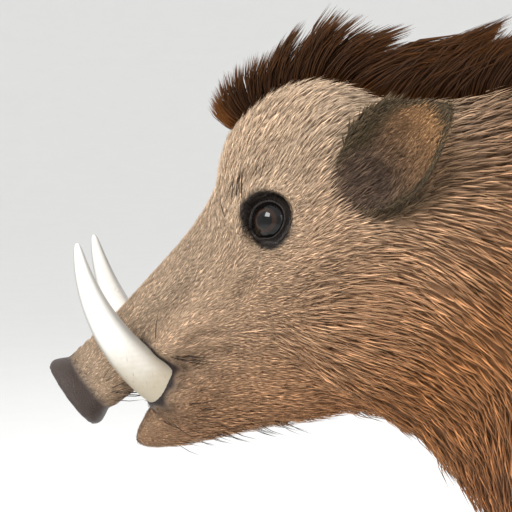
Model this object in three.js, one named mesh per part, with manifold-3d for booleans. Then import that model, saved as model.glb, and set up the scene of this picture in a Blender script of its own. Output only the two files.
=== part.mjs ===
// A wild boar, an old male, life size and standing still with its mane raised and its mouth a little open.
// Millimetres, +Z up, nose towards -Y, its left side towards +X, hooves on z = 0.
// The body's surface is that of the coat, out to the tips of the hair. It is the zero level of one smooth
// field of muscle masses, swept ring by ring along each part's own axis, and parted with thin plane cuts.
import * as THREE from "three";
import { mergeVertices } from "three/addons/utils/BufferGeometryUtils.js";
import Module from "manifold-3d";

const wasm = await Module();
wasm.setup();

// ---- Driving dimensions ----
const NOSE = { y: -800, z: 556 }; // centre of the snout disc
const HEAD_PITCH = THREE.MathUtils.degToRad(38); // the head's axis falls this much towards the nose
const HEAD_SCALE = 1.07; // an old male's head, over the sizes given here in the head's own frame
const HEAD_END = 392; // where the skull gives way to the neck
const SNOUT_DEPTH = 11; // thickness of the bare disc
const NOSTRIL = { x: 14, u: -4, v: 2, radius: 9, depth: 16 };
const MOUTH_CORNER = { u: 128, v: -37 }; // in the head's own frame: u back from the nose, v up
const JAW_DROP = THREE.MathUtils.degToRad(7);
const JAW_LENGTH = 250;
const JAW_AXIS_V = -24; // the jaw's axis runs this far under the mouth corner
const CHIN_U = 16; // how far the chin stays behind the snout disc
const EYE = { x: 67, u: 265, v: 13, radius: 24 };
const EAR = { x: 110, u: 336, v: -5, length: 152, width: 106, wall: 7 };
// A tusk of the lower jaw, by its root, size, bend in radians, and first direction.
const TUSK = { x: 12, u: 96, v: -78, reach: 224, radius: 21, bend: 1.25, way: [0.6, -0.4, 0.76], steps: 12 };
const TUSK_ROUND = 0.16; // the share of its length over which a tusk's root swells from its rounded end
const MANE = { rise: 68, from: 258, to: 1038, locks: 10 }; // from and to lie along the spine, behind the nose
const TAIL = { brush: 15 }; // half the width that the brush flattens to
const FORE_FOOT = { x: 112, y: -268 };
const HIND_FOOT = { x: 108, y: 462 };
const STRIDE = 34; // each left foot stands this far from the middle, and its right one as far the other way
const HIP_Z = 640; // the stride moves nothing this high up
const CLAW = { length: 72, width: 33, height: 70, lean: 0.4, spread: 18.5, coronet: 43 };
const DEW_CLAW = { x: 21, y: 6, z: 92, reach: 42, radius: 12, bend: 0.5 };
const CUT_GAP = 0.4; // between neighbouring parts
const SOCKET_GAP = 0.35; // round an eye or a tusk
// Where each leg leaves the trunk: heights at its inner and outer side, and its reach along the body.
const FORE_CUT = { inner: 40, innerZ: 388, outer: 260, outerZ: 424, near: -110, far: 112 };
const HIND_CUT = { inner: 30, innerZ: 404, outer: 260, outerZ: 452, near: -150, far: 160 };
const SPINE_SPOKES = 28;

const COLOURS = {
  coat: 0x8a6a4c,
  face: 0x9c8468,
  leg: 0x3a2a20,
  mane: 0x3a2010,
  ear: 0x4c4032,
  hoof: 0x2a2522,
  ivory: 0xe6e0d0,
  eye: 0x1c1512,
  snout: 0x3e3531,
};

const materials = Object.fromEntries(
  Object.entries(COLOURS).map(([name, color]) => [
    name,
    new THREE.MeshStandardMaterial({
      name,
      color,
      metalness: 0,
      roughness: name === "eye" ? 0.08 : name === "ivory" ? 0.35 : name === "hoof" ? 0.5 : 0.85,
    }),
  ]),
);

const vec = (x, y, z) => new THREE.Vector3(x, y, z);

// ---- Fields: negative inside, in millimetres near the surface ----
const smoothUnion = (a, b, width) => {
  const share = Math.max(width - Math.abs(a - b), 0) / width;
  return Math.min(a, b) - (share * share * width) / 4;
};
// What is left of a after b is taken away.
const smoothCut = (a, b, width) => -smoothUnion(-a, b, width);

// An egg-shaped mass, turned by `tilt` radians about X.
function mass([x, y, z], [rx, ry, rz], tilt = 0) {
  const c = Math.cos(tilt);
  const s = Math.sin(tilt);
  return (p) => {
    const dx = p.x - x;
    const dy = (p.y - y) * c + (p.z - z) * s;
    const dz = (p.z - z) * c - (p.y - y) * s;
    const near = Math.hypot(dx / rx, dy / ry, dz / rz);
    const slope = Math.hypot(dx / rx ** 2, dy / ry ** 2, dz / rz ** 2);
    return slope < 1e-9 ? -Math.min(rx, ry, rz) : (near * (near - 1)) / slope;
  };
}

// A limb segment from a to b whose radius goes from ra to rb. `flat` narrows it across the body.
function bone(a, b, ra, rb, flat = 1) {
  const start = vec(...a);
  const along = vec(...b).sub(start);
  const lengthSq = along.lengthSq();
  const d = vec();
  return (p) => {
    d.copy(p).sub(start);
    const t = THREE.MathUtils.clamp(d.dot(along) / lengthSq, 0, 1);
    d.addScaledVector(along, -t);
    d.x /= flat;
    return d.length() - THREE.MathUtils.lerp(ra, rb, t);
  };
}

// A smooth curve through [place, size] pairs.
function profile(pairs) {
  const slope = (i) => {
    const [before, after] = [pairs[Math.max(i - 1, 0)], pairs[Math.min(i + 1, pairs.length - 1)]];
    return (after[1] - before[1]) / (after[0] - before[0]);
  };
  return (at) => {
    const place = THREE.MathUtils.clamp(at, pairs[0][0], pairs.at(-1)[0]);
    const i = Math.max(pairs.findIndex(([end]) => place <= end), 1);
    const [[p0, s0], [p1, s1]] = [pairs[i - 1], pairs[i]];
    const span = p1 - p0;
    const t = (place - p0) / span;
    const rise = s0 * (1 + 2 * t) * (1 - t) ** 2 + s1 * t * t * (3 - 2 * t);
    return rise + span * (slope(i - 1) * t * (1 - t) ** 2 - slope(i) * t * t * (1 - t));
  };
}

// A long body whose sections are squared ovals: sizes above, below and to the side of its own axis.
function wedge({ above, below, wide, square, taper }) {
  return (x, u, v) => {
    const height = v > 0 ? above(u) : below(u);
    const n = v / height;
    const half = wide(u) * (1 - taper * THREE.MathUtils.clamp(n, -1, 1));
    const ratio = (Math.abs(x / half) ** square + Math.abs(n) ** square) ** (1 / square);
    return (ratio - 1) * Math.min(height, half);
  };
}

// ---- The head's own frame ----
const [pitchCos, pitchSin] = [Math.cos(HEAD_PITCH), Math.sin(HEAD_PITCH)];
const onHead = (x, u, v) =>
  vec(x, u * pitchCos - v * pitchSin, u * pitchSin + v * pitchCos)
    .multiplyScalar(HEAD_SCALE)
    .add(vec(0, NOSE.y, NOSE.z));
const headU = (p) => ((p.y - NOSE.y) * pitchCos + (p.z - NOSE.z) * pitchSin) / HEAD_SCALE;
const headV = (p) => ((p.z - NOSE.z) * pitchCos - (p.y - NOSE.y) * pitchSin) / HEAD_SCALE;
const headWay = (x, u, v) => onHead(x, u, v).sub(onHead(0, 0, 0)).normalize();
const headMass = (x, u, v, sizes) =>
  mass(onHead(x, u, v).toArray(), sizes.map((size) => size * HEAD_SCALE), HEAD_PITCH);

const skull = wedge({
  above: profile([
    [0, 36], [28, 33], [70, 36], [130, 45], [190, 56], [240, 73], [285, 92], [330, 103], [400, 98],
  ]),
  below: profile([[0, 35], [40, 34], [100, 38], [140, 50], [200, 114], [250, 160], [300, 170], [400, 150]]),
  wide: profile([[0, 39], [26, 34], [60, 36], [95, 41], [150, 54], [210, 65], [260, 76], [330, 86]]),
  square: 2.5,
  taper: 0.16,
});
const mandible = wedge({
  above: profile([[0, 12], [40, 15], [70, 20], [96, 28], [120, 34], [200, 40]]),
  below: profile([[0, 18], [30, 33], [90, 70], [150, 114], [200, 134], [250, 138]]),
  wide: profile([[0, 20], [30, 30], [75, 41], [110, 41], [150, 50], [200, 68], [250, 80]]),
  square: 2.3,
  taper: -0.12,
});

// The lower jaw hangs from the mouth corner, turned down by JAW_DROP.
const [dropCos, dropSin] = [Math.cos(JAW_DROP), Math.sin(JAW_DROP)];
function jawField(p) {
  const u = headU(p) - MOUTH_CORNER.u;
  const v = headV(p) - MOUTH_CORNER.v;
  const along = u * dropCos + v * dropSin + MOUTH_CORNER.u - CHIN_U;
  const up = v * dropCos - u * dropSin - JAW_AXIS_V;
  const end = Math.max(0, 16 - along);
  const bar = mandible(p.x / HEAD_SCALE, along, up * (1 + end / 40)) + end * end * 0.06;
  return smoothCut(bar, JAW_LENGTH - along, 30) * HEAD_SCALE;
}

const headMasses = [
  [headMass(38, 120, -18, [20, 34, 18]), 18], // the lip raised over the tusk
  [headMass(58, 258, 43, [18, 38, 14]), 20], // brow
  [headMass(66, 262, -4, [18, 58, 18]), 26], // cheekbone
  [headMass(64, 290, -62, [40, 72, 72]), 40], // jaw muscle
  [headMass(60, 350, 40, [30, 34, 34]), 26], // root of the ear
  [headMass(0, 318, 72, [50, 66, 38]), 30], // crown
];
const eyeHollow = headMass(97, 262, 14, [15, 30, 20]);

function headField(p) {
  const u = headU(p);
  let d = skull(p.x / HEAD_SCALE, u, headV(p)) * HEAD_SCALE;
  d = smoothCut(d, HEAD_END - u, 60);
  for (const [part, width] of headMasses) d = smoothUnion(d, part(p), width);
  return smoothCut(d, eyeHollow(p), 14);
}

// ---- Neck, trunk and legs ----
const bodyMasses = [
  [bone([0, -455, 716], [0, -380, 698], 136, 174, 0.8), 50], // neck
  [bone([0, -390, 690], [0, -270, 650], 172, 212, 0.84), 60], // base of the neck
  [mass([0, -190, 738], [96, 250, 146]), 70], // withers
  [mass([0, -80, 610], [188, 350, 238]), 70], // ribs
  [mass([0, 170, 594], [184, 340, 204]), 70], // belly
  [mass([0, 250, 660], [110, 300, 128]), 90], // loin
  [mass([0, 420, 600], [148, 222, 170], -0.1), 80], // pelvis
  [mass([0, -298, 520], [116, 96, 122]), 60], // breast
];

// Places on one leg: x outwards from the midline, y from the middle of its foot's stand, z up. `stride` moves
// the foot and leaves the top in place.
const footFrame = (foot, side, stride) => (x, y, z) => [side * x, foot.y + y + stride * (1 - z / HIP_Z), z];

// The masses of one leg, from the body down.
function foreLeg(side, stride) {
  const at = footFrame(FORE_FOOT, side, stride);
  return [
    [mass(at(112, -8, 640), [66, 112, 172], 0.25), 50], // shoulder
    [mass(at(118, 40, 508), [62, 96, 96], 0.5), 50], // upper arm
    [bone(at(112, 8, 470), at(110, 0, 300), 66, 45, 0.86), 40], // forearm
    [bone(at(110, 0, 300), at(110, -2, 226), 45, 37, 0.9), 30],
    [bone(at(110, -4, 226), at(111, -2, 196), 38, 34), 18], // wrist
    [bone(at(111, -2, 196), at(112, 2, 112), 31, 29), 16], // cannon
    [bone(at(112, 2, 104), at(112, -4, 84), 33, 33), 16], // fetlock
    [bone(at(112, -4, 84), at(112, -24, 44), 31, 29, 1.05), 16], // pastern
  ];
}

function hindLeg(side, stride) {
  const at = footFrame(HIND_FOOT, side, stride);
  return [
    [mass(at(102, -2, 590), [72, 148, 166], -0.2), 60], // haunch
    [mass(at(112, -70, 500), [56, 84, 100], 0.3), 50], // thigh
    [bone(at(108, -62, 450), at(108, 46, 300), 70, 38, 0.84), 40], // shank
    [bone(at(108, 66, 320), at(108, 68, 268), 22, 24), 30], // heel string
    [bone(at(108, 50, 296), at(108, 46, 236), 38, 34), 24], // hock
    [bone(at(108, 46, 236), at(108, 22, 112), 33, 29), 20], // cannon
    [bone(at(108, 22, 106), at(108, 14, 84), 33, 33), 16], // fetlock
    [bone(at(108, 14, 84), at(108, -8, 44), 31, 29, 1.05), 16], // pastern
  ];
}

// The line that each leg's rings are centred on.
const foreLine = [
  [112, 24, 500], [112, 14, 450], [111, 4, 380], [110, 0, 300], [110, -3, 212],
  [111, 0, 150], [112, 0, 98], [112, -14, 62], [112, -30, 24],
];
const hindLine = [
  [108, -52, 520], [108, -46, 470], [108, -16, 400], [108, 30, 330], [108, 52, 270],
  [108, 36, 180], [108, 20, 100], [110, 4, 62], [112, -14, 24],
];

const leg = (name, side, stride, foot, masses, line, cut) => {
  const at = footFrame(foot, side, stride);
  return { name, side, masses: masses(side, stride), line: line.map((p) => vec(...at(...p))), cut, at };
};
const legs = [
  leg("front_left", 1, -STRIDE, FORE_FOOT, foreLeg, foreLine, FORE_CUT),
  leg("front_right", -1, STRIDE, FORE_FOOT, foreLeg, foreLine, FORE_CUT),
  leg("hind_left", 1, STRIDE, HIND_FOOT, hindLeg, hindLine, HIND_CUT),
  leg("hind_right", -1, -STRIDE, HIND_FOOT, hindLeg, hindLine, HIND_CUT),
];

const unite = (d, p, parts) => parts.reduce((sum, [part, width]) => smoothUnion(sum, part(p), width), d);
const mirrored = (p) => vec(Math.abs(p.x), p.y, p.z);

function torsoField(p) {
  const half = mirrored(p);
  const d = unite(1e3, half, bodyMasses);
  return smoothUnion(d, headField(half), 60);
}
// Everything but the open mouth's lower jaw.
const bodyField = (p) => legs.reduce((sum, { masses }) => unite(sum, p, masses), torsoField(p));
const headWithJaw = (p) => smoothUnion(bodyField(p), jawField(mirrored(p)), 10);

// ---- Surfaces ----
// From `centre` along `way`, the first place where the field turns positive.
function firstSurface(field, centre, way, reach) {
  const p = vec();
  const level = (r) => field(p.copy(centre).addScaledVector(way, r));
  let inside = 0;
  let outside = reach;
  for (let r = 0; r < reach; ) {
    const d = level(r);
    if (d >= 0) {
      outside = r;
      break;
    }
    inside = r;
    r += Math.max(2, -0.6 * d);
  }
  for (let i = 0; i < 22; i++) {
    const middle = (inside + outside) / 2;
    if (level(middle) < 0) inside = middle;
    else outside = middle;
  }
  return p.copy(centre).addScaledVector(way, outside).clone();
}

// A closed skin round an axis. Each station is {centre, side, up, ahead, lean}: its rays go out in the plane
// of side and up, leaning towards `ahead` by `lean` radians, which lets the last stations close a round end.
// They are closer together under the axis than over it, by `crowd`.
function sweep(stations, spokes, field, reach, crowd = 1) {
  const turns = Array.from({ length: spokes }, (_, i) => {
    const share = (2 * i) / spokes;
    return share <= 1 ? Math.PI * share ** crowd : 2 * Math.PI - Math.PI * (2 - share) ** crowd;
  });
  const rings = stations.map(({ centre, side, up, ahead, lean = 0 }) =>
    turns.map((turn) => {
      const way = vec()
        .addScaledVector(up, Math.cos(turn) * Math.cos(lean))
        .addScaledVector(side, Math.sin(turn) * Math.cos(lean))
        .addScaledVector(ahead, Math.sin(lean));
      return firstSurface(field, centre, way, reach);
    }),
  );
  return loft(rings);
}

// Joins rings of equal length into one closed body, with a fan over each end.
function loft(rings) {
  const count = rings[0].length;
  const middle = (ring) => ring.reduce((sum, p) => sum.add(p), vec()).divideScalar(count);
  const points = [...rings.flat(), middle(rings[0]), middle(rings.at(-1))];
  const [first, last] = [points.length - 2, points.length - 1];
  const end = (rings.length - 1) * count;
  const faces = [];
  for (let i = 0; i < count; i++) {
    const j = (i + 1) % count;
    for (let r = 0; r < end; r += count) {
      const [a, b, c, d] = [r + i, r + j, r + count + j, r + count + i];
      if (i < count / 2) faces.push(a, b, c, a, c, d);
      else faces.push(a, b, d, b, c, d); // mirrored, to keep both sides of the body alike
    }
    faces.push(first, j, i, last, end + i, end + j);
  }
  const geometry = new THREE.BufferGeometry().setFromPoints(points);
  geometry.setIndex(faces);
  return solid(geometry);
}

// A closed geometry as a solid whose faces point out.
function solid(geometry) {
  const plain = new THREE.BufferGeometry().setAttribute("position", geometry.getAttribute("position"));
  plain.setIndex(geometry.index);
  const merged = mergeVertices(plain, 1e-3);
  const made = (triVerts) =>
    new wasm.Manifold(
      new wasm.Mesh({ numProp: 3, vertProperties: merged.attributes.position.array, triVerts }),
    );
  const triVerts = new Uint32Array(merged.index.array);
  const body = made(triVerts);
  if (body.volume() >= 0) return body;
  for (let i = 0; i < triVerts.length; i += 3) {
    [triVerts[i], triVerts[i + 1]] = [triVerts[i + 1], triVerts[i]];
  }
  return made(triVerts);
}

// The largest of a cut's pieces.
const largest = (body) => body.decompose().sort((a, b) => b.volume() - a.volume())[0];

function mesh(name, body, material) {
  const { vertProperties, triVerts } = largest(body).getMesh();
  const geometry = new THREE.BufferGeometry();
  geometry.setAttribute("position", new THREE.BufferAttribute(new Float32Array(vertProperties), 3));
  geometry.setIndex(new THREE.BufferAttribute(triVerts, 1));
  geometry.computeVertexNormals();
  const made = new THREE.Mesh(geometry, materials[material]);
  made.name = name;
  return made;
}

// Both halves of a body at a plane through `point`, a gap apart: [ahead of the normal, behind it].
function halves(body, point, normal) {
  const n = normal.clone().normalize();
  const at = point.dot(n);
  return [
    body.trimByPlane(n.toArray(), at + CUT_GAP / 2),
    body.trimByPlane(n.clone().negate().toArray(), CUT_GAP / 2 - at),
  ];
}

const X = vec(1, 0, 0);
const evenly = (from, to, count) => Array.from({ length: count }, (_, i) => from + ((to - from) * i) / count);

// A station at share t of a curve in a plane of constant X, for sweep().
function station(curve, t, lean = 0) {
  const ahead = curve.getTangentAt(t);
  const up = vec().crossVectors(X, ahead).normalize();
  return { centre: curve.getPointAt(t), side: X, up, ahead, lean };
}
const curveThrough = (points) => new THREE.CatmullRomCurve3(points, false, "centripetal");

// A prism across the body from an outline in the plane of two directions.
function prism(corners, origin, right, up, depth) {
  const outline = new THREE.Shape(corners.map(([x, y]) => new THREE.Vector2(x, y)));
  const geometry = new THREE.ExtrudeGeometry(outline, { depth, bevelEnabled: false });
  const out = vec().crossVectors(right, up);
  return solid(geometry.applyMatrix4(new THREE.Matrix4().makeBasis(right, up, out).setPosition(origin)));
}

const boar = new THREE.Group();
boar.name = "wild_boar";
const add = (name, body, material) => boar.add(mesh(name, body, material));
const SIDES = [
  ["left", 1],
  ["right", -1],
];

// ---- Head, neck and trunk: one sweep from the snout to the rump ----
const spine = curveThrough([
  onHead(0, 0, 0),
  onHead(0, 90, 0),
  onHead(0, 180, 4),
  onHead(0, 260, 10),
  vec(0, -490, 732),
  vec(0, -380, 706),
  vec(0, -240, 662),
  vec(0, 0, 630),
  vec(0, 240, 610),
  vec(0, 470, 606),
]);
const spineLength = spine.getLength();
const spineEnd = spineLength - 1;
// The rings turn from square to the snout to upright over the whole head, so that none meet at the throat.
const ringPitch = profile([
  [0, 38], [60, 37], [150, 31], [250, 22], [350, 11], [450, 2], [560, -5], [1400, -2],
]);
function alongSpine(distance, lean = 0) {
  const pitch = THREE.MathUtils.degToRad(ringPitch(distance));
  const ahead = vec(0, Math.cos(pitch), Math.sin(pitch));
  const up = vec().crossVectors(X, ahead);
  return { centre: spine.getPointAt(distance / spineLength), side: X, up, ahead, lean };
}
const bodyReach = 420;
const wholeBody = sweep(
  [
    ...[0.5, 5, 12, 22, 34].map((d) => alongSpine(d)), // the snout's rim
    ...evenly(50, 236, 9).map((d) => alongSpine(d)), // muzzle
    ...evenly(236, 420, 13).map((d) => alongSpine(d)), // brow and crown
    ...evenly(420, 505, 3).map((d) => alongSpine(d)), // neck
    ...evenly(505, 745, 8).map((d) => alongSpine(d)), // shoulders
    ...evenly(745, 1200, 5).map((d) => alongSpine(d)), // belly
    ...evenly(1200, spineEnd, 6).map((d) => alongSpine(d)), // haunches
    ...[0, 0.32, 0.64, 0.96, 1.3].map((lean) => alongSpine(spineEnd, lean)), // rump
  ],
  SPINE_SPOKES,
  headWithJaw,
  bodyReach,
  0.85,
);
const [headWhole, behindHead] = halves(wholeBody, vec(0, -482, 760), vec(0, -1, -0.22));
const [neck, trunkWhole] = halves(behindHead, vec(0, -360, 690), vec(0, -1, 0.12));
const [snoutWhole, behindSnout] = halves(headWhole, onHead(0, SNOUT_DEPTH, 0), headWay(0, -1, 0));

// ---- Lower jaw ----
const jawLine = (u) => MOUTH_CORNER.v + JAW_AXIS_V - 6 - (MOUTH_CORNER.u - u) * Math.tan(JAW_DROP);
const jawCurve = new THREE.LineCurve3(...[28, 252].map((u) => onHead(0, u, jawLine(u))));
const jawReach = 156;
const jawWhole = sweep(
  [
    ...[-1.35, -0.9, -0.45].map((lean) => station(jawCurve, 0, lean)),
    ...evenly(0, 1, 10).map((t) => station(jawCurve, t)),
  ],
  18,
  headWithJaw,
  jawReach,
);
// What belongs to the jaw, from the side: under the mouth and ahead of a cut down to the throat.
const mouthFront = -40;
const throatV = -260;
const jawRegion = prism(
  [
    [MOUTH_CORNER.u, MOUTH_CORNER.v - 1],
    [mouthFront, MOUTH_CORNER.v - 1 - (MOUTH_CORNER.u - mouthFront) * Math.tan(JAW_DROP / 2)],
    [mouthFront, throatV],
    [MOUTH_CORNER.u + 106, throatV],
    [MOUTH_CORNER.u + 78, -130],
  ].map(([u, v]) => [u * HEAD_SCALE, v * HEAD_SCALE]),
  onHead(0, 0, 0).sub(vec(200, 0, 0)),
  headWay(0, 1, 0),
  headWay(0, 0, 1),
  400,
);
const jawShift = headWay(0, -1, -1).multiplyScalar(2 * CUT_GAP);
let head = behindSnout.subtract(jawRegion);
let jaw = jawWhole.intersect(jawRegion).translate(jawShift.toArray());

// ---- Nostrils: blind holes through the disc ----
function nostril(side) {
  const shape = new THREE.SphereGeometry(NOSTRIL.radius, 8, 5).scale(0.8, 1, NOSTRIL.depth / NOSTRIL.radius);
  shape.rotateX(Math.PI / 2 + HEAD_PITCH);
  return solid(shape.translate(...onHead(side * NOSTRIL.x, NOSTRIL.u, NOSTRIL.v).toArray()));
}
let snout = snoutWhole;
for (const [, side] of SIDES) {
  snout = snout.subtract(nostril(side));
  head = head.subtract(nostril(side));
}
add("snout", snout, "snout");

// ---- Tusks, eyes and ears ----
// A horn that starts at `root`, heads along `way` and bends by `bend` radians towards `towards`. Its root
// swells from a rounded end over the share `round` of its length.
function horn({ root, way, towards, reach, radius, bend, steps, sides = 7, grow = 0, round = 0 }) {
  const across = vec().crossVectors(way, towards).normalize();
  const centre = root.clone().addScaledVector(way, -grow);
  const rings = [];
  for (let i = 0; i <= steps; i++) {
    const t = i / steps;
    const angle = bend * t;
    const ahead = way.clone().multiplyScalar(Math.cos(angle)).addScaledVector(towards, Math.sin(angle));
    const out = towards.clone().multiplyScalar(Math.cos(angle)).addScaledVector(way, -Math.sin(angle));
    const swell = t < round ? Math.sqrt(1 - 0.8 * (1 - t / round) ** 2) : 1;
    const r = Math.max(radius * swell * (1 - t ** 1.7) ** 0.9, 0.8) + grow;
    rings.push(
      Array.from({ length: sides }, (_, k) => {
        const turn = (2 * Math.PI * k) / sides;
        return centre
          .clone()
          .addScaledVector(out, Math.cos(turn) * r)
          .addScaledVector(across, Math.sin(turn) * r * 0.8);
      }),
    );
    centre.addScaledVector(ahead, (reach + grow) / steps);
  }
  return loft(rings);
}

const squareTo = (way, other) => other.addScaledVector(way, -other.dot(way)).normalize();
function tusk(side, grow) {
  const { x, u, v, way: [out, back, up], ...shape } = TUSK;
  const way = headWay(side * out, back, up);
  const towards = squareTo(way, headWay(-side * 0.55, 0.8, 0.5));
  return horn({ root: onHead(side * x, u, v), way, towards, grow, round: TUSK_ROUND, ...shape });
}

const eyeball = (side, radius) =>
  solid(new THREE.SphereGeometry(radius, 12, 6).translate(...onHead(side * EYE.x, EYE.u, EYE.v).toArray()));

// A cupped leaf, whose rings are crescents open towards `face`. Shares run from under the skin to the tip.
const earWide = profile([
  [-0.2, 0.4], [0, 0.5], [0.15, 0.78], [0.38, 1], [0.56, 0.95], [0.85, 0.48], [1, 0.12],
]);
const earWrap = profile([[-0.2, 1.3], [0, 1.25], [0.5, 1], [1, 0.6]]); // how far the cup closes, in radians
const EAR_RINGS = 8;
const RIM_POINTS = 6;
function ear(side) {
  const along = vec(side * 0.48, 0.66, 0.58).normalize();
  const face = squareTo(along, vec(side * 0.9, -0.4, 0.1));
  const across = vec().crossVectors(along, face).normalize();
  const root = onHead(side * EAR.x, EAR.u, EAR.v);
  const rings = [...evenly(-0.2, 1, EAR_RINGS), 1].map((t) => {
    const half = (EAR.width / 2) * earWide(t);
    const wrap = earWrap(t);
    const bow = half / Math.sin(Math.min(wrap, Math.PI / 2));
    const inside = bow - Math.min(EAR.wall, half * 0.8);
    const centre = root
      .clone()
      .addScaledVector(along, t * EAR.length)
      .addScaledVector(face, bow * Math.cos(wrap) - 14 * t * t);
    const rim = (radius, turn) =>
      centre
        .clone()
        .addScaledVector(face, -Math.cos(turn) * radius)
        .addScaledVector(across, Math.sin(turn) * radius);
    const turns = Array.from({ length: RIM_POINTS }, (_, k) => wrap * ((2 * k) / (RIM_POINTS - 1) - 1));
    const back = turns.map((turn) => rim(bow, turn));
    const hollow = turns.reverse().map((turn) => rim(inside, turn * 0.94));
    return [...back, ...hollow];
  });
  return loft(rings);
}

for (const [word, side] of SIDES) {
  add(`eye_${word}`, eyeball(side, EYE.radius), "eye");
  head = head.subtract(eyeball(side, EYE.radius + SOCKET_GAP));
  const socket = tusk(side, SOCKET_GAP);
  head = head.subtract(socket);
  jaw = jaw.subtract(socket);
  add(`tusk_${word}`, tusk(side, 0), "ivory");
  add(`ear_${word}`, ear(side).subtract(wholeBody).translate(side * CUT_GAP, 0, CUT_GAP), "ear");
}
add("head", head, "face");
add("jaw", jaw, "face");
add("neck", neck, "coat");

// ---- Mane: a blade along the back, in locks that sweep backwards ----
const maneRise = profile([
  [0, 0.45], [0.05, 0.74], [0.13, 0.9], [0.3, 1], [0.5, 0.95], [0.75, 0.65], [1, 0.14],
]);
const LOCK_PLACES = [0, 0.5, 0.94]; // of the rings of one lock, from the notch ahead of it to its tip
const MANE_ROOT = -14; // how deep its edges start under the coat
function maneRing(share, inLock) {
  const { centre, up, ahead } = alongSpine(THREE.MathUtils.lerp(MANE.from, MANE.to, share));
  const foot = firstSurface(headWithJaw, centre, up, bodyReach);
  const rise = MANE.rise * maneRise(share) * (0.68 + 0.42 * inLock);
  const sweptBack = rise * (0.3 + 0.25 * inLock);
  const at = (x, height, back) =>
    foot.clone().addScaledVector(X, x).addScaledVector(up, height).addScaledVector(ahead, back);
  const half = [at(24, MANE_ROOT, 0), at(15, rise * 0.5, sweptBack * 0.5), at(4, rise, sweptBack)];
  return [...half, ...half.map((p) => vec(-p.x, p.y, p.z)).reverse()];
}
const maneRings = evenly(0, 1, MANE.locks).flatMap((start) =>
  LOCK_PLACES.map((place) => maneRing(start + place / MANE.locks, place)),
);
maneRings.push(maneRing(1, 0));
add("mane", loft(maneRings).subtract(wholeBody).translate(0, 0, CUT_GAP), "mane");

// ---- Tail, with its flat brush ----
const tailCurve = curveThrough([
  vec(0, 580, 700),
  vec(0, 628, 692),
  vec(0, 660, 640),
  vec(0, 671, 560),
  vec(0, 673, 470),
  vec(0, 668, 372),
]);
const tailThick = profile([[0, 21], [0.2, 17], [0.5, 12], [0.66, 14], [0.8, 24], [0.93, 17], [1, 4]]);
const TAIL_SIDES = 8;
const tail = loft(
  [...evenly(0, 1, 12), 1].map((t) => {
    const { centre, up } = station(tailCurve, t);
    const thick = tailThick(t);
    return Array.from({ length: TAIL_SIDES }, (_, k) => {
      const turn = (2 * Math.PI * k) / TAIL_SIDES;
      const across = Math.sin(turn) * Math.min(thick, TAIL.brush);
      return centre.clone().addScaledVector(up, Math.cos(turn) * thick).addScaledVector(X, across);
    });
  }),
);
add("tail", tail.subtract(wholeBody).translate(0, CUT_GAP, 0), "mane");

// ---- Legs, with two claws to stand on and two dew claws each ----
// A claw on the ground: a pointed oval that narrows upwards and leans back.
const CLAW_SIDES = 9;
function claw(x, y, side) {
  const ring = (t, size) =>
    Array.from({ length: CLAW_SIDES }, (_, k) => {
      const turn = (2 * Math.PI * k) / CLAW_SIDES;
      const toe = Math.max(0, -Math.sin(turn)) ** 3;
      const across = (CLAW.width / 2) * Math.cos(turn) * size;
      const back = (CLAW.length / 2) * (Math.sin(turn) - 0.2 * toe) * size + CLAW.lean * t * CLAW.height;
      return vec(x + across + side * 0.08 * back, y + back, t * CLAW.height);
    });
  return loft([ring(0, 0.93), ring(0.12, 1), ring(1, 0.82)]);
}

// A dew claw, behind the pastern and clear of the ground.
function dewClaw(at, side, out, grow) {
  const way = vec(side * out * 0.3, 0.5, -0.8).normalize();
  const towards = squareTo(way, vec(0, -1, 0));
  const root = vec(...at(FORE_FOOT.x + out * DEW_CLAW.x, DEW_CLAW.y, DEW_CLAW.z));
  const { reach, radius, bend } = DEW_CLAW;
  return horn({ root, way, towards, reach, radius, bend, steps: 3, sides: 6, grow });
}

// The space that a leg is cut from. `inset` draws its walls inwards, to keep the gap to the trunk.
function legRegion({ side, at, cut }, inset) {
  const outline = [
    [cut.inner, -20],
    [cut.outer, -20],
    [cut.outer, cut.outerZ - inset],
    [cut.inner, cut.innerZ - inset],
  ];
  const [, farY] = at(0, cut.far - inset, HIP_Z);
  return prism(
    outline.map(([x, z]) => [side * (x + inset), z]),
    vec(0, farY, 0),
    X,
    vec(0, 0, 1),
    cut.far - cut.near - 2 * inset,
  );
}

const coronetUp = vec(0, -0.22, 1); // the hair ends at the coronet, a plane that falls towards the heel
let trunk = trunkWhole;
for (const limb of legs) {
  const { name, side, at, masses, line } = limb;
  trunk = trunk.subtract(legRegion(limb, 0));

  const field = (p) => unite(torsoField(p), p, masses);
  const axis = curveThrough(line);
  const swept = sweep([...evenly(0, 1, 13), 1].map((t) => station(axis, t)), 11, field, 170);
  const coronet = vec(...at(FORE_FOOT.x, -30, CLAW.coronet));
  let [shaft] = halves(swept.intersect(legRegion(limb, CUT_GAP)), coronet, coronetUp);
  for (const [place, out] of [
    ["outer", 1],
    ["inner", -1],
  ]) {
    const toe = claw(coronet.x + side * out * CLAW.spread, coronet.y - 6, side * out);
    const [, hoof] = halves(toe, coronet, coronetUp);
    add(`hoof_${name}_${place}`, hoof, "hoof");
    shaft = shaft.subtract(dewClaw(at, side, out, SOCKET_GAP));
    add(`dewclaw_${name}_${place}`, dewClaw(at, side, out, 0), "hoof");
  }
  add(`leg_${name}`, shaft, "leg");
}
add("trunk", trunk, "coat");

// The origin is on the ground under the middle of the animal's length.
boar.updateMatrixWorld(true);
boar.position.y = -new THREE.Box3().setFromObject(boar).getCenter(vec()).y;

export default boar;
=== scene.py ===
"""Finishes the solid model of a standing wild boar: one skin over all the flesh, a bristly coat in
short solid tufts, the crest of the mane, brushed tail, tusks, eyes and hooves, on a pale stage."""

import math

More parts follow.
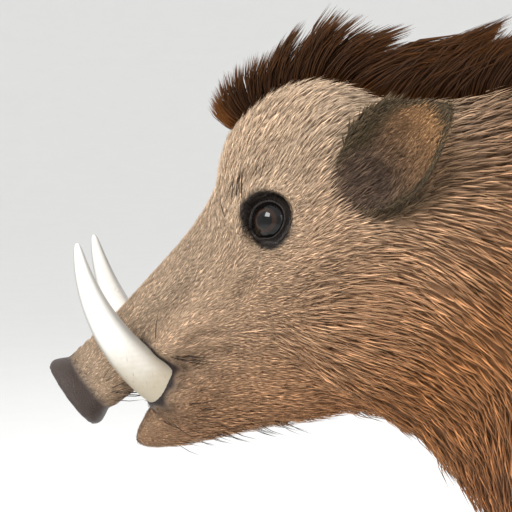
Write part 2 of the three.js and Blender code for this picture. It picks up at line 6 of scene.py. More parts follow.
import bmesh
import bpy
import numpy as np
from bpy.props import FloatProperty, FloatVectorProperty, IntProperty, PointerProperty
from bpy.types import Operator, Panel, PropertyGroup
from mathutils import Matrix, Vector, noise
from mathutils.bvhtree import BVHTree


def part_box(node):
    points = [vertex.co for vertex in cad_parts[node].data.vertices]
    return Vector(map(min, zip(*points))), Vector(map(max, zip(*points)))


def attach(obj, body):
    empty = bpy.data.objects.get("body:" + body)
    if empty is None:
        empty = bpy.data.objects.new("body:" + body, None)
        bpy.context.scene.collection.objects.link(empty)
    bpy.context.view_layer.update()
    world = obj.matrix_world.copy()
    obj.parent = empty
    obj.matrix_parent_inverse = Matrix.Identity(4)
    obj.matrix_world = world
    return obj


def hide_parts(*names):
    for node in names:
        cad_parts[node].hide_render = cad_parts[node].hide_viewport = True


bl_info = {
    "name": "Wild Boar",
    "version": (1, 0, 0),
    "blender": (4, 5, 0),
    "location": "3D View > Sidebar > Wild Boar",
    "description": "Skin, coat, mane, tusks, eyes and hooves of a standing wild boar",
    "category": "Object",
}

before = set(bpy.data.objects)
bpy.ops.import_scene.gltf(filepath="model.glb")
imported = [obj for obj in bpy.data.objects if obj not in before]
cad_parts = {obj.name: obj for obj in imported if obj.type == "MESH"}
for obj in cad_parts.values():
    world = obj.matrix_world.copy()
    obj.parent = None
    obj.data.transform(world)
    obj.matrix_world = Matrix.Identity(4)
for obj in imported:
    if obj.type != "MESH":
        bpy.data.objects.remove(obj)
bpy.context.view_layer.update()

SIDES = {"left": 1.0, "right": -1.0}
LEGS = [f"leg_{end}_{side}" for end in ("front", "hind") for side in SIDES]
FLESH = ["snout", "head", "jaw", "neck", "trunk", "tail", "ear_left", "ear_right", *LEGS]
HORN = sorted(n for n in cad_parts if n.startswith(("hoof", "dewclaw")))
EAR_ALONG = (0.48, 0.66, 0.58)  # of the left ear, from its root to its tip
EAR_FACE = (0.90, -0.40, 0.10)  # the way that the left ear opens
GAZE = (0.90, -0.40, 0.12)  # of the left eye

# The skull is tilted: BACK runs from the snout disc towards the nape, UP is square to it.
BACK = np.array((0.0, 0.788, 0.6157))
UP = np.array((0.0, -0.6157, 0.788))
SNOUT_DISC = np.array((0.0, -0.7364, 0.556))


def linear(red, green, blue):
    """A colour given in the usual 0 to 255 steps, as the linear values that shaders use."""
    return tuple(
        c / 12.92 if c <= 0.04045 else ((c + 0.055) / 1.055) ** 2.4
        for c in (red / 255, green / 255, blue / 255)
    )


# ------------------------------------------------------------------ sizes and colours


def size(name, description, default, low=0.0, high=1.0):
    return FloatProperty(
        name=name, description=description, default=default, min=low, max=high, unit="LENGTH"
    )


def colour(name, description, *rgb):
    return FloatVectorProperty(
        name=name, description=description, default=linear(*rgb), size=3, subtype="COLOR",
        min=0.0, max=1.0,
    )


class BoarSkinSettings(PropertyGroup):
    grain: size("Skin grain", "Width of the cells that the flesh is fused from", 0.003, 0.001, 0.01)
    body_depth: size("Body coat depth", "How far the skin lies under the body's coat", 0.009)
    face_depth: size("Face coat depth", "How far the skin lies under the hair of the face", 0.0025)
    lid_thickness: size("Lid thickness", "Thickness of the eyelids over the eyeball", 0.0018)
    snout_colour: colour("Snout", "Bare skin of the snout disc", 66, 55, 50)
    lid_colour: colour("Lids", "Bare skin around the eyes", 44, 38, 35)
    mouth_colour: colour("Mouth", "Inside of the mouth and nostrils", 34, 24, 22)


class BoarCoatSettings(PropertyGroup):
    tufts: IntProperty(
        name="Tufts", description="Tufts in the whole coat, without mane and tail",
        default=118000, min=1000, max=150000,
    )
    muzzle_hair: size("Muzzle hair", "Length of the hair on the muzzle", 0.007)
    cheek_hair: size("Cheek hair", "Length of the hair on the cheeks", 0.020)
    neck_hair: size("Neck hair", "Length of the bristles on the neck", 0.040)
    body_hair: size("Body hair", "Length of the bristles on the trunk", 0.046)
    foot_hair: size("Foot hair", "Length of the hair above the hooves", 0.008)
    face_colour: colour("Face", "Muzzle and forehead", 194, 169, 143)
    cheek_colour: colour("Cheek", "Cheeks and nape", 170, 133, 101)
    neck_colour: colour("Neck", "Sides of the neck", 150, 102, 62)
    body_colour: colour("Chest", "Chest and lower neck", 130, 85, 52)
    trunk_colour: colour("Trunk", "Sides of the trunk", 118, 82, 54)
    leg_colour: colour("Legs", "Lower legs", 48, 38, 31)
    ear_colour: colour("Ear", "Rim and back of the ears", 86, 72, 52)


class BoarManeSettings(PropertyGroup):
    bristles: IntProperty(
        name="Bristles", description="Bristles in the mane", default=10500, min=500, max=12000
    )
    width: size("Bristle width", "Width of one bristle lock", 0.0022)
    dark_colour: colour("Mane", "Middle of the mane's bristles", 58, 33, 12)
    edge_colour: colour("Mane edge", "Roots and tips of the mane's bristles", 108, 64, 22)


class BoarHornSettings(PropertyGroup):
    tusk_colour: colour("Tusk", "Ivory of the tusks", 232, 230, 224)
    tusk_stain: colour("Tusk root", "Stained ivory where the tusk leaves the lip", 172, 158, 132)
    hoof_colour: colour("Hoof", "Horn of the hooves", 46, 38, 33)
    eye_colour: colour("Eye", "Iris", 44, 28, 18)


class BoarStageSettings(PropertyGroup):
    floor_colour: colour("Floor", "Studio floor", 231, 231, 230)
    view_width: size("View width", "Width of what the camera frames", 0.532, 0.1, 5.0)
    distance: size("Camera distance", "From the camera to the head", 2.4, 0.5, 10.0)


SETTINGS = {
    "boar_skin": BoarSkinSettings,
    "boar_coat": BoarCoatSettings,
    "boar_mane": BoarManeSettings,
    "boar_horn": BoarHornSettings,
    "boar_stage": BoarStageSettings,
}


# ------------------------------------------------------------------ shader graphs


class Value:
    """One number or colour inside a material, with arithmetic that adds the nodes for it."""

    def __init__(self, finish, socket):
        self.finish = finish
        self.socket = socket

    def math(self, operation, *others):
        return self.finish.node(
            "ShaderNodeMath", {"operation": operation}, dict(enumerate((self, *others)))
        )

    def __add__(self, other):
        return self.math("ADD", other)

    def __sub__(self, other):
        return self.math("SUBTRACT", other)

    def __rsub__(self, other):
        return self.finish.node(
            "ShaderNodeMath", {"operation": "SUBTRACT"}, {0: other, 1: self}
        )

    def __mul__(self, other):
        return self.math("MULTIPLY", other)

    __radd__ = __add__
    __rmul__ = __mul__

    def ramp(self, low, high):
        """0 where the value is at low or below, 1 at high or above, eased between."""
        return self.finish.node(
            "ShaderNodeMapRange",
            {"interpolation_type": "SMOOTHSTEP"},
            {"Value": self, "From Min": low, "From Max": high},
        )


class Finish:
    """A material and the graph behind its one surface shader."""

    def __init__(self, name, **constants):
        self.material = bpy.data.materials.new(name)
        self.material.use_nodes = True
        self.tree = self.material.node_tree
        self.tree.nodes.clear()
        self.shader = self.tree.nodes.new("ShaderNodeBsdfPrincipled")
        output = self.tree.nodes.new("ShaderNodeOutputMaterial")
        self.tree.links.new(self.shader.outputs[0], output.inputs["Surface"])
        for socket, value in constants.items():
            self.shader.inputs[socket.replace("_", " ")].default_value = value

    def feed(self, socket, value):
        if isinstance(value, Value):
            self.tree.links.new(value.socket, socket)
        elif socket.type == "RGBA" and len(value) == 3:
            socket.default_value = (*value, 1.0)
        else:
            socket.default_value = value

    def node(self, kind, settings=None, inputs=None, output=0):
        node = self.tree.nodes.new(kind)
        for name, value in (settings or {}).items():
            setattr(node, name, value)
        for key, value in (inputs or {}).items():
            self.feed(node.inputs[key], value)
        return Value(self, node.outputs[output])

    def attribute(self, name, output="Fac"):
        return self.node("ShaderNodeAttribute", {"attribute_name": name}, output=output)

    def place(self, scale=(1, 1, 1), turn=(0, 0, 0)):
        """Object coordinates, turned and scaled."""
        here = self.node("ShaderNodeTexCoord", output="Object")
        return self.node(
            "ShaderNodeMapping",
            {"vector_type": "TEXTURE"},
            {"Vector": here, "Rotation": turn, "Scale": [1 / s for s in scale]},
        )

    def noise(self, place, scale, detail=3.0):
        return self.node(
            "ShaderNodeTexNoise", None,
            {"Vector": place, "Scale": scale, "Detail": detail, "Roughness": 0.6},
        )

    def mix(self, amount, first, second):
        """Blends two colours by an amount from 0 to 1."""
        return self.node(
            "ShaderNodeMix", {"data_type": "RGBA"}, {0: amount, 6: first, 7: second}, output=2
        )

    def scaled(self, tone, factor):
        """A colour made lighter or darker by a number."""
        return self.node(
            "ShaderNodeVectorMath", {"operation": "SCALE"}, {0: tone, "Scale": factor}
        )

    def surface(self, colour, roughness=None, height=None, depth=0.001, strength=1.0):
        """Feeds the shader: its colour and roughness, and the height of its fine relief."""
        self.feed(self.shader.inputs["Base Color"], colour)
        if roughness is not None:
            self.feed(self.shader.inputs["Roughness"], roughness)
        if height is not None:
            bump = self.node(
                "ShaderNodeBump", None,
                {"Height": height, "Distance": depth, "Strength": strength},
            )
            self.feed(self.shader.inputs["Normal"], bump)
        return self.material


# ------------------------------------------------------------------ mesh helpers


def ease(x, low, high):
    """0 below low, 1 above high, smooth between them."""
    t = np.clip((x - low) / (high - low), 0.0, 1.0)
    return t * t * (3.0 - 2.0 * t)


def blend(first, second, share):
    """From first, where the share is 0, to second, where it is 1."""
    return first * (1 - share) + second * share


def blend_rows(first, second, share):
    """The same for rows of colours or directions."""
    return blend(first, np.asarray(second), share[:, None])


def numbers(items, name, width=1, kind=float):
    """One value of each of a mesh's faces or other items, such as their areas."""
    out = np.empty(len(items) * width, kind)
    items.foreach_get(name, out)
    return out.reshape(-1, width) if width > 1 else out


def points_of(mesh):
    return numbers(mesh.vertices, "co", 3, np.float32).astype(float)


def place_points(mesh, co):
    mesh.vertices.foreach_set("co", np.ascontiguousarray(co, np.float32).ravel())
    mesh.update()


def normals_of(mesh):
    return numbers(mesh.vertex_normals, "vector", 3, np.float32).astype(float)


def unit(vectors):
    return vectors / np.maximum(np.linalg.norm(vectors, axis=-1, keepdims=True), 1e-9)


# each kind of value: what its field is called, and how many numbers it holds
FIELDS = {
    "FLOAT": ("value", 1), "FLOAT2": ("vector", 2), "FLOAT_VECTOR": ("vector", 3),
    "FLOAT_COLOR": ("color", 4),
}


def store(mesh, name, values, kind="FLOAT", domain="POINT"):
    """Keeps one value for each point or corner under a name."""
    values = np.asarray(values, np.float32)
    if kind == "FLOAT_COLOR" and values.shape[1] == 3:
        values = np.column_stack((values, np.ones(len(values), np.float32)))
    attribute = mesh.attributes.get(name) or mesh.attributes.new(name, kind, domain)
    attribute.data.foreach_set(FIELDS[kind][0], np.ascontiguousarray(values).ravel())


def read(mesh, name):
    """The values kept under a name, a row each where a value has more than one number."""
    attribute = mesh.attributes[name]
    return numbers(attribute.data, *FIELDS[attribute.data_type], np.float32).astype(float)


def new_object(name, mesh):
    obj = bpy.data.objects.new(name, mesh)
    bpy.context.scene.collection.objects.link(obj)
    return obj


def evaluated(obj):
    """A plain mesh of the object with its modifiers."""
    graph = bpy.context.evaluated_depsgraph_get()
    return bpy.data.meshes.new_from_object(
        obj.evaluated_get(graph), preserve_all_data_layers=True, depsgraph=graph
    )


def apply_modifiers(obj):
    """Takes the modifiers' result as the object's own mesh."""
    mesh = evaluated(obj)
    obj.modifiers.clear()
    old = obj.data
    obj.data = mesh
    bpy.data.meshes.remove(old)
    mesh.name = obj.name
    return mesh


def as_mesh(work, name):
    """Turns a bmesh into a mesh."""
    mesh = bpy.data.meshes.new(name)
    work.to_mesh(mesh)
    work.free()
    return mesh


def add_copy(joined, node, swell):
    """Adds a solid to a bmesh, with its corners merged, swollen by a small distance."""
    copy = bmesh.new()
    copy.from_mesh(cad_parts[node].data)
    bmesh.ops.remove_doubles(copy, verts=copy.verts, dist=1e-5)
    copy.normal_update()
    for v in copy.verts:
        v.co += v.normal * swell
    mesh = as_mesh(copy, "copy")
    joined.from_mesh(mesh)
    bpy.data.meshes.remove(mesh)


def as_piece(piece, finish, nodes):
    """Gives a finished piece its finish and smooth shading, hangs it from the root, and hides the
    solids that it stands in for.
    """
    piece.data.materials.append(finish)
    piece.data.shade_smooth()
    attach(piece, "root")
    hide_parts(*nodes)


def relax(mesh, weight, rounds):
    """Moves each vertex towards the middle of its neighbours, by its own weight."""
    edges = numbers(mesh.edges, "vertices", 2, np.int32)
    here = np.concatenate((edges[:, 0], edges[:, 1]))
    there = np.concatenate((edges[:, 1], edges[:, 0]))
    order = np.argsort(here, kind="stable")
    there = there[order]
    count = np.bincount(here, minlength=len(mesh.vertices))
    start = np.concatenate(([0], np.cumsum(count)[:-1]))
    co = points_of(mesh)
    weight = weight[:, None]
    for _ in range(rounds):
        middle = np.add.reduceat(co[there], start) / count[:, None]
        co += (middle - co) * weight
    place_points(mesh, co)


def finer(mesh, near):
    """Splits the edges between picked points, and cuts the faces beside them into triangles."""
    picked = near(points_of(mesh))
    work = bmesh.new()
    work.from_mesh(mesh)
    work.verts.ensure_lookup_table()
    inside = set(np.nonzero(picked)[0].tolist())
    edges = [e for e in work.edges if e.verts[0].index in inside and e.verts[1].index in inside]
    bmesh.ops.subdivide_edges(work, edges=edges, cuts=1, use_grid_fill=True)
    bmesh.ops.triangulate(work, faces=[f for f in work.faces if len(f.verts) > 4])
    work.to_mesh(mesh)
    work.free()
    mesh.update()


# ------------------------------------------------------------------ skin


def eye_ball(side):
    """Centre and radius of one eyeball."""
    low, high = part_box(f"eye_{side}")
    return np.array((low + high) / 2), (high.z - low.z) / 2


TUSK_ROOT = (0.0128, 0.1027, -0.0835)  # across, back and up in the head's frame
TUSK_WAY = (0.573, -0.382, 0.725)
TUSK_LIP = 0.035  # from its root to where a tusk leaves the lip
TUSK_COVER = 0.0036  # ivory over the solid tusk
TUSK_FLARE = 0.0040  # and how much more of it there is at the root
# balls of flesh that hold a tusk: how far along it each lies, and its radius
TUSK_COLLAR = ((0.004, 0.0292), (0.016, 0.0322), (0.027, 0.0322), (0.036, 0.0298))
FLESH_SWELL = 0.0012  # so that neighbouring solids fuse
THINNED = 0.215  # share of the fused faces that stay, where only those behind the head may go


def along_tusk(side, distance):
    """A place on the middle line of a tusk's root."""
    aside, behind, above = np.array(TUSK_ROOT) + np.array(TUSK_WAY) * distance
    return SNOUT_DISC + BACK * behind + UP * above + np.array((SIDES[side] * aside, 0, 0))


def from_tusk(co):
    """Distance of points from where the nearer tusk leaves the lip."""
    mirrored = np.column_stack((np.abs(co[:, 0]), co[:, 1:]))
    return np.linalg.norm(mirrored - along_tusk("left", TUSK_LIP), axis=1)


def fused_flesh(grain):
    """All the flesh as one closed surface, with the sockets of eyes and tusks filled."""
    joined = bmesh.new()
    for side in SIDES:
        for distance, reach in TUSK_COLLAR:
            place = Matrix.Translation(along_tusk(side, distance))
            bmesh.ops.create_icosphere(joined, subdivisions=3, radius=reach, matrix=place)
    for node in [*FLESH, "eye_left", "eye_right"]:
        add_copy(joined, node, FLESH_SWELL)
    skin = new_object("skin", as_mesh(joined, "skin"))
    fuse = skin.modifiers.new("fuse", "REMESH")
    fuse.mode = "VOXEL"
    fuse.voxel_size = grain
    behind_head = points_of(apply_modifiers(skin))[:, 1] > -0.40
    body = skin.vertex_groups.new(name="body")
    body.add(np.nonzero(behind_head)[0].tolist(), 1.0, "REPLACE")
    thin = skin.modifiers.new("thin", "DECIMATE")
    thin.ratio = THINNED
    thin.vertex_group = "body"
    apply_modifiers(skin)
    skin.vertex_groups.clear()
    return skin


def surface_of(*nodes):
    """The surface of some solids, for casting rays and finding nearest places."""
    joined = bmesh.new()
    for node in nodes:
        joined.from_mesh(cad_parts[node].data)
    tree = BVHTree.FromBMesh(joined)
    joined.free()
    return tree


def distance_to(tree, co):
    return np.array([tree.find_nearest(p)[3] for p in co.tolist()])


def ear_share(co):
    """How much each point belongs to an ear and not to the head or neck under it, from 0 to 1."""
    share = np.zeros(len(co))
    head = surface_of("head", "neck")
    for side in SIDES:
        low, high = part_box(f"ear_{side}")
        near = np.all((co > np.array(low) - 0.01) & (co < np.array(high) + 0.01), axis=1)
        some = co[near]
        to_ear = distance_to(surface_of(f"ear_{side}"), some)
        share[near] = ease(distance_to(head, some) - to_ear, -0.001, 0.006)
    return share


def in_oval(flat, centre, halves, turn):
    """Places of flat points along and across a turned oval, with 1 at its ends and sides."""
    first, second = (flat - centre).T
    cos, sin = math.cos(turn), math.sin(turn)
    return (first * cos + second * sin) / halves[0], (second * cos - first * sin) / halves[1]


EAR_LEAF = ((-0.409, 0.797), (0.064, 0.050), 0.62)  # middle, half sizes and turn, from the side


def ear_leaf(co, normals, ears):
    """How much each point lies within the leaf of an ear, with its base on the head."""
    along, across = in_oval(co[:, 1:3], *EAR_LEAF)
    inside = 1 - ease(np.sqrt(along**2 + across**2), 0.86, 1.0)
    near = np.abs(co[:, 0]) > 0.075
    return np.maximum(ears, inside * near * ease(np.abs(normals[:, 0]), 0.0, 0.2))


def head_frame(co):
    """Distance back from the snout disc, and height over its middle, along the tilted skull.
    The feet, which lie under the muzzle, count as far back."""
    away = co - SNOUT_DISC
    return away @ BACK + 9.0 * (co[..., 2] < 0.35), away @ UP


def on_head(co, front=-0.46, back=-0.38):
    """1 on the head, easing to 0 between two places on the neck."""
    return 1 - ease(co[:, 1], front, back)


def on_tail(co):
    return ease(co[:, 1], 0.66, 0.68) * (np.abs(co[:, 0]) < 0.03)


def from_line(flat, corners):
    """Distance of flat points from a line of corners, and how far along it each lies, 0 to 1."""
    corners = np.asarray(corners, float)
    reach = np.linalg.norm(np.diff(corners, axis=0), axis=1)
    before = np.concatenate(([0.0], np.cumsum(reach)))
    nearest = np.full(len(flat), np.inf)
    along = np.zeros(len(flat))
    for i, length in enumerate(reach):
        step = corners[i + 1] - corners[i]
        share = np.clip((flat - corners[i]) @ step / length**2, 0, 1)
        distance = np.linalg.norm(flat - corners[i] - share[:, None] * step, axis=1)
        closer = distance < nearest
        nearest[closer] = distance[closer]
        along[closer] = (before[i] + share[closer] * length) / before[-1]
    return nearest, along


def fold(flat, corners, width, depth):
    """A groove along a line, with a low swell on each side, that fades out at its ends."""
    distance, along = from_line(flat, corners)
    fade = ease(along, 0.0, 0.25) * ease(1 - along, 0.0, 0.25)
    swell = np.exp(-(((distance - 2 * width) / width) ** 2))
    return -depth * fade * (np.exp(-((distance / width) ** 2)) - 0.35 * swell)


def bulge(flat, centre, radii, height, turn=0.0):
    """A low rounded swelling over an oval."""
    along, across = in_oval(flat, centre, radii, turn)
    return height * np.exp(-(along**2 + across**2))


def face_relief(co):
    """Folds and swellings of the head, by which its skin rises or sinks."""
    behind, above = head_frame(co)
    flat = np.column_stack((behind, above))
    aside = np.abs(co[:, 0])
    side = ease(aside, 0.012, 0.03)
    lift = np.zeros(len(co))
    # nose: a hollow along each side leaves the nasal bones as a ridge
    lift += side * fold(flat, [(0.07, 0.006), (0.13, 0.012), (0.20, 0.026)], 0.012, 0.0035)
    lift += bulge(flat, (0.135, -0.014), (0.034, 0.014), 0.003) * side
    # wrinkles across the nose behind the disc
    for i, back in enumerate((0.026, 0.038, 0.052, 0.068)):
        wave = 0.004 * np.cos(aside * 90 + i)
        ring = np.exp(-(((behind - back - wave) / 0.0028) ** 2)) * ease(above, -0.012, 0.004)
        lift -= (0.0013 - 0.0002 * i) * ring
    # brow, and the grooves before, under and over the eye
    eye_behind, eye_above = head_frame(eye_ball("left")[0])
    eye = flat - (eye_behind, eye_above)
    lift += side * bulge(eye, (-0.002, 0.034), (0.036, 0.010), 0.0050, 0.12)
    lift += side * fold(eye, [(-0.034, -0.016), (-0.056, -0.028), (-0.086, -0.038)], 0.006, 0.0025)
    lift += side * fold(eye, [(-0.037, -0.020), (-0.004, -0.037), (0.036, -0.026)], 0.004, 0.0018)
    lift += side * fold(eye, [(-0.046, -0.030), (-0.004, -0.050), (0.048, -0.040)], 0.005, 0.0016)
    lift += side * fold(eye, [(-0.032, 0.044), (0.0, 0.053), (0.036, 0.047)], 0.005, 0.0018)
    # cheekbone and the jaw's great muscle
    lift += side * bulge(flat, (0.335, -0.024), (0.045, 0.016), 0.004, 0.1)
    lift += side * fold(flat, [(0.23, -0.050), (0.29, -0.056), (0.355, -0.040)], 0.014, 0.003)
    # lips: folds at the corner of the mouth
    lift += side * fold(flat, [(0.122, -0.026), (0.150, -0.028), (0.178, -0.048)], 0.005, 0.0024)
    lift += side * fold(flat, [(0.139, -0.050), (0.163, -0.060), (0.176, -0.085)], 0.006, 0.0022)
    # behind the jaw, where the neck starts
    lift += side * fold(flat, [(0.40, 0.02), (0.385, -0.06), (0.375, -0.13)], 0.018, 0.004)
    return lift


def body_relief(co):
    """Shoulder, elbow, flank, haunch and the tendons of the legs."""
    flat = co[:, 1:3]
    x = np.abs(co[:, 0])
    side = ease(x, 0.03, 0.08)
    lift = np.zeros(len(co))
    # behind and before the shoulder, and the elbow
    behind = [(-0.03, 0.86), (-0.04, 0.70), (-0.08, 0.56), (-0.12, 0.44)]
    before = [(-0.30, 0.80), (-0.27, 0.68), (-0.33, 0.54), (-0.31, 0.42)]
    lift += side * fold(flat, behind, 0.046, 0.0065)
    lift += side * fold(flat, before, 0.042, 0.004)
    lift += side * bulge(flat, (-0.165, 0.50), (0.05, 0.06), 0.006)
    # flank, the fold where the thigh meets the belly, and the haunch
    flank = [(0.40, 0.84), (0.34, 0.70), (0.32, 0.56), (0.36, 0.44)]
    lift += side * fold(flat, flank, 0.050, 0.008)
    lift += side * fold(flat, [(0.20, 0.40), (0.28, 0.43), (0.345, 0.50)], 0.018, 0.008)
    lift += side * bulge(flat, (0.46, 0.60), (0.08, 0.10), 0.005)
    # between the ribs
    for y in (0.02, 0.075, 0.13, 0.185):
        lift += side * fold(flat, [(y, 0.72), (y + 0.03, 0.60), (y + 0.02, 0.50)], 0.014, 0.0016)
    # the cleft under the tail
    middle = np.exp(-((co[:, 0] / 0.012) ** 2))
    lift -= 0.012 * middle * ease(co[:, 1], 0.58, 0.66) * ease(co[:, 2], 0.44, 0.52)
    return lift


def leg_relief(co):
    """Grooves between bone and tendon on the shanks, below each wrist and hock."""
    lift = np.zeros(len(co))
    for leg in LEGS:
        low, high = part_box(leg)
        here = (np.sign(co[:, 0]) == np.sign(low.x + high.x)) & (co[:, 2] < 0.36)
        here &= (co[:, 1] > low.y) & (co[:, 1] < high.y)
        flat = co[here][:, 1:3]
        mesh = points_of(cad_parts[leg].data)
        line = []
        for z in (0.10, 0.17, 0.24, 0.30):
            ring = mesh[np.abs(mesh[:, 2] - z) < 0.035]
            line.append((ring[:, 1].mean() + 0.006, z))
        lift[here] += fold(flat, line, 0.006, 0.003)
    return lift


EYE_OPENING = (0.0192, 0.0184)  # half its length and half its height
EYE_LID = (0.0250, 0.0268)  # half sizes of the bare lids
EYE_DARK = (0.0288, 0.0322)  # half sizes of the dark patch around the eye


def eye_axes(side):
    """The ways back and up across an eye, and its gaze."""
    gaze = unit(np.array(GAZE) * (SIDES[side], 1, 1))
    back = unit(BACK - gaze * (BACK @ gaze))
    high = np.cross(gaze, back)
    return back, high * np.sign(high[2]), gaze


def eye_plane(side, co):
    """Places seen along an eye's gaze: back, up and out from the eyeball's middle."""
    back, high, gaze = eye_axes(side)
    away = co - eye_ball(side)[0]
    return away @ back, away @ high, away @ gaze, gaze


def eye_oval(side, co, halves):
    """How far points lie from an eye's middle, with 1 on an oval of these half sizes. Points
    behind the eye count as far away."""
    back, high, out, _ = eye_plane(side, co)
    return np.where(out > -0.01, np.sqrt((back / halves[0]) ** 2 + (high / halves[1]) ** 2), 9.0)


def open_eyes(co):
    """Shapes the lids over both eyeballs and sinks the skin behind them inside the opening."""
    settings = bpy.context.scene.boar_skin
    for side in SIDES:
        centre, radius = eye_ball(side)
        back, high, out, gaze = eye_plane(side, co)
        near = (np.linalg.norm(co - centre, axis=1) < radius * 2.4) & (out > -0.3 * radius)
        back, high, out = back[near], high[near], out[near]
        # the opening is an oval with a drawn-out front corner
        corner = 0.0022 * ease(-back, 0.004, 0.016)
        half_long = EYE_OPENING[0] + corner
        half_high = EYE_OPENING[1] * np.where(high > 0, 1.0, 0.94)
        half_high *= 1 - 0.25 * ease(-back, 0.006, 0.018)
        oval = np.sqrt((back / half_long) ** 2 + (high / half_high) ** 2)
        across = np.sqrt(back**2 + high**2)
        # the level of the head around the socket, as if nothing were sunk there
        ring = (oval > 1.9) & (oval < 2.5) & (out > 0)
        terms = (np.ones(len(back)), back, high, back * back, high * high, back * high)
        terms = np.column_stack(terms)
        fit, *_ = np.linalg.lstsq(terms[ring], out[ring], rcond=None)
        around = terms @ fit
        on_ball = np.sqrt(np.maximum(radius**2 - across**2, 0.0))
        lid = radius + settings.lid_thickness
        shell = np.sqrt(np.maximum(lid**2 - across**2, 0.0))
        rolled = np.exp(-(((oval - 1.09) / 0.08) ** 2)) * 0.0012
        outward = ease(oval, 1.12, 1.75)
        lid_level = blend(shell + rolled, around, outward)
        inside = 1 - ease(oval, 0.965, 1.03)
        level = blend(lid_level, on_ball - 0.0028, inside)
        # creases where the upper lid folds under the brow, and below the lower lid
        level -= 0.0022 * np.exp(-(((oval - 1.42) / 0.09) ** 2)) * ease(high, -0.002, 0.008)
        level -= 0.0012 * np.exp(-(((oval - 1.50) / 0.10) ** 2)) * ease(-high, 0.004, 0.012)
        level += 0.0016 * np.exp(-(((oval - 1.66) / 0.14) ** 2)) * ease(high, 0.0, 0.008)
        close = 1 - ease(oval, 1.9, 2.4)
        co[near] += ((level - out) * close)[:, None] * gaze
    return co


NOSTRIL = (0.0155, 0.0088, 0.0105)  # distance from the middle plane, half width, half height


def nostril(sign, x, height):
    """How far points lie from one nostril's middle, with 1 on its oval edge."""
    apart, half_wide, half_high = NOSTRIL
    return np.sqrt(((x - sign * apart) / half_wide) ** 2 + (height / half_high) ** 2)


def shape_snout(co):
    """The disc: a raised rim, a shallow middle and two deep nostrils."""
    behind, above = head_frame(co)
    x = co[:, 0]
    across = np.sqrt((x / 0.040) ** 2 + (above / 0.034) ** 2)
    front = 1 - ease(behind, 0.004, 0.010)
    push = 0.0022 * front * (1 - ease(across, 0.55, 0.9))
    for sign in SIDES.values():
        hole = nostril(sign, x, above - 0.003 + 0.1 * np.abs(x))
        push += 0.017 * (1 - ease(hole, 0.35, 1.0)) * (1 - ease(behind, 0.006, 0.014))
        push -= 0.0012 * np.exp(-(((hole - 1.25) / 0.18) ** 2)) * front
    push += 0.0014 * front * np.exp(-((x / 0.0022) ** 2)) * ease(-above, 0.0, 0.006)
    co += push[:, None] * BACK
    flare = 0.0022 * np.exp(-(((behind - 0.006) / 0.006) ** 2))
    flare -= 0.0018 * np.exp(-(((behind - 0.021) / 0.006) ** 2))
    outward = unit(np.column_stack((x, above)))
    edge = ease(across, 0.6, 0.95) * flare
    co[:, 0] += outward[:, 0] * edge
    co += (outward[:, 1] * edge)[:, None] * UP
    return co


def build_skin():
    """The skin's shape: fused, evened, with its folds, and sunk by the depth of the coat."""
    settings = bpy.context.scene.boar_skin
    skin = fused_flesh(settings.grain)
    mesh = skin.data
    co = points_of(mesh)
    ears = ear_share(co)
    body = ease(co[:, 1], -0.42, -0.34) * ease(co[:, 2], 0.30, 0.42)
    head = on_head(co, back=-0.36)
    relax(mesh, 0.15 + 0.5 * body * (1 - ears) + 0.3 * head * (1 - ears), 10)
    relax(mesh, 0.6 * body, 25)

    eyes = [eye_ball(side) for side in SIDES]

    def around_eyes(reach):
        return lambda co: np.any(
            [np.linalg.norm(co - centre, axis=1) < reach for centre, _ in eyes], axis=0
        )

    def snout_end(co):
        return head_frame(co)[0] < 0.03

    def around_tusks(co):
        return from_tusk(co) < 0.045

    finer(mesh, lambda co: around_eyes(0.038)(co) | snout_end(co) | around_tusks(co))
    finer(mesh, around_eyes(0.029))
    co = points_of(mesh)
    evened = around_eyes(0.040)(co) | around_tusks(co)
    evened |= snout_end(co) & (head_frame(co)[0] > 0.004)
    relax(mesh, 0.5 * evened, 3)

    co = points_of(mesh)
    ears = ear_share(co)
    behind, _ = head_frame(co)
    face = on_head(co)
    bare = 1 - ease(behind, 0.012, 0.03)
    legs = 1 - ease(co[:, 2], 0.10, 0.42)
    depth = blend(settings.body_depth, settings.face_depth, face)
    depth = depth * (1 - 0.8 * legs) * (1 - bare) * (1 - 0.6 * ears)
    depth = depth * (1 - 0.5 * on_tail(co))
    normals = normals_of(mesh)
    lift = blend(body_relief(co) + leg_relief(co), face_relief(co), face)
    lift *= 1 - ears
    co += normals * (lift - depth)[:, None]
    co = shape_snout(co)
    co = open_eyes(co)
    place_points(mesh, co)
    return skin


def ear_frame(side, co):
    """Where points lie on an ear: their share of its length, their distance from its middle line
    against its half width, and the way it faces."""
    mirror = np.array((SIDES[side], 1, 1))
    ear = points_of(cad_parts[f"ear_{side}"].data)
    along = unit(np.array(EAR_ALONG) * mirror)
    reach = ear @ along
    share = (co @ along - reach.min()) / (reach.max() - reach.min())
    face = np.array(EAR_FACE) * mirror
    face = unit(face - along * (face @ along))
    across = np.cross(along, face)
    middle = np.interp(share, *edge_profile(ear, along, across, np.mean))
    half = np.interp(share, *edge_profile(ear, along, across, lambda reach: np.ptp(reach) / 2))
    return share, np.abs(co @ across - middle) / np.maximum(half, 0.004), face


def edge_profile(points, along, across, measure):
    """A measure of where the points lie across, at even steps along."""
    reach = points @ along
    share = (reach - reach.min()) / (reach.max() - reach.min())
    at = np.linspace(0.05, 0.95, 9)
    return at, [measure((points @ across)[np.abs(share - t) < 0.12]) for t in at]


def ramp_colours(at, stops):
    """Colours along a row of (place, colour) stops."""
    places = [place for place, _ in stops]
    return np.column_stack([np.interp(at, places, [c[i] for _, c in stops]) for i in range(3)])


EAR_HOLLOW = ((0.2, linear(104, 84, 70)), (0.8, linear(174, 132, 90)))  # from root to tip


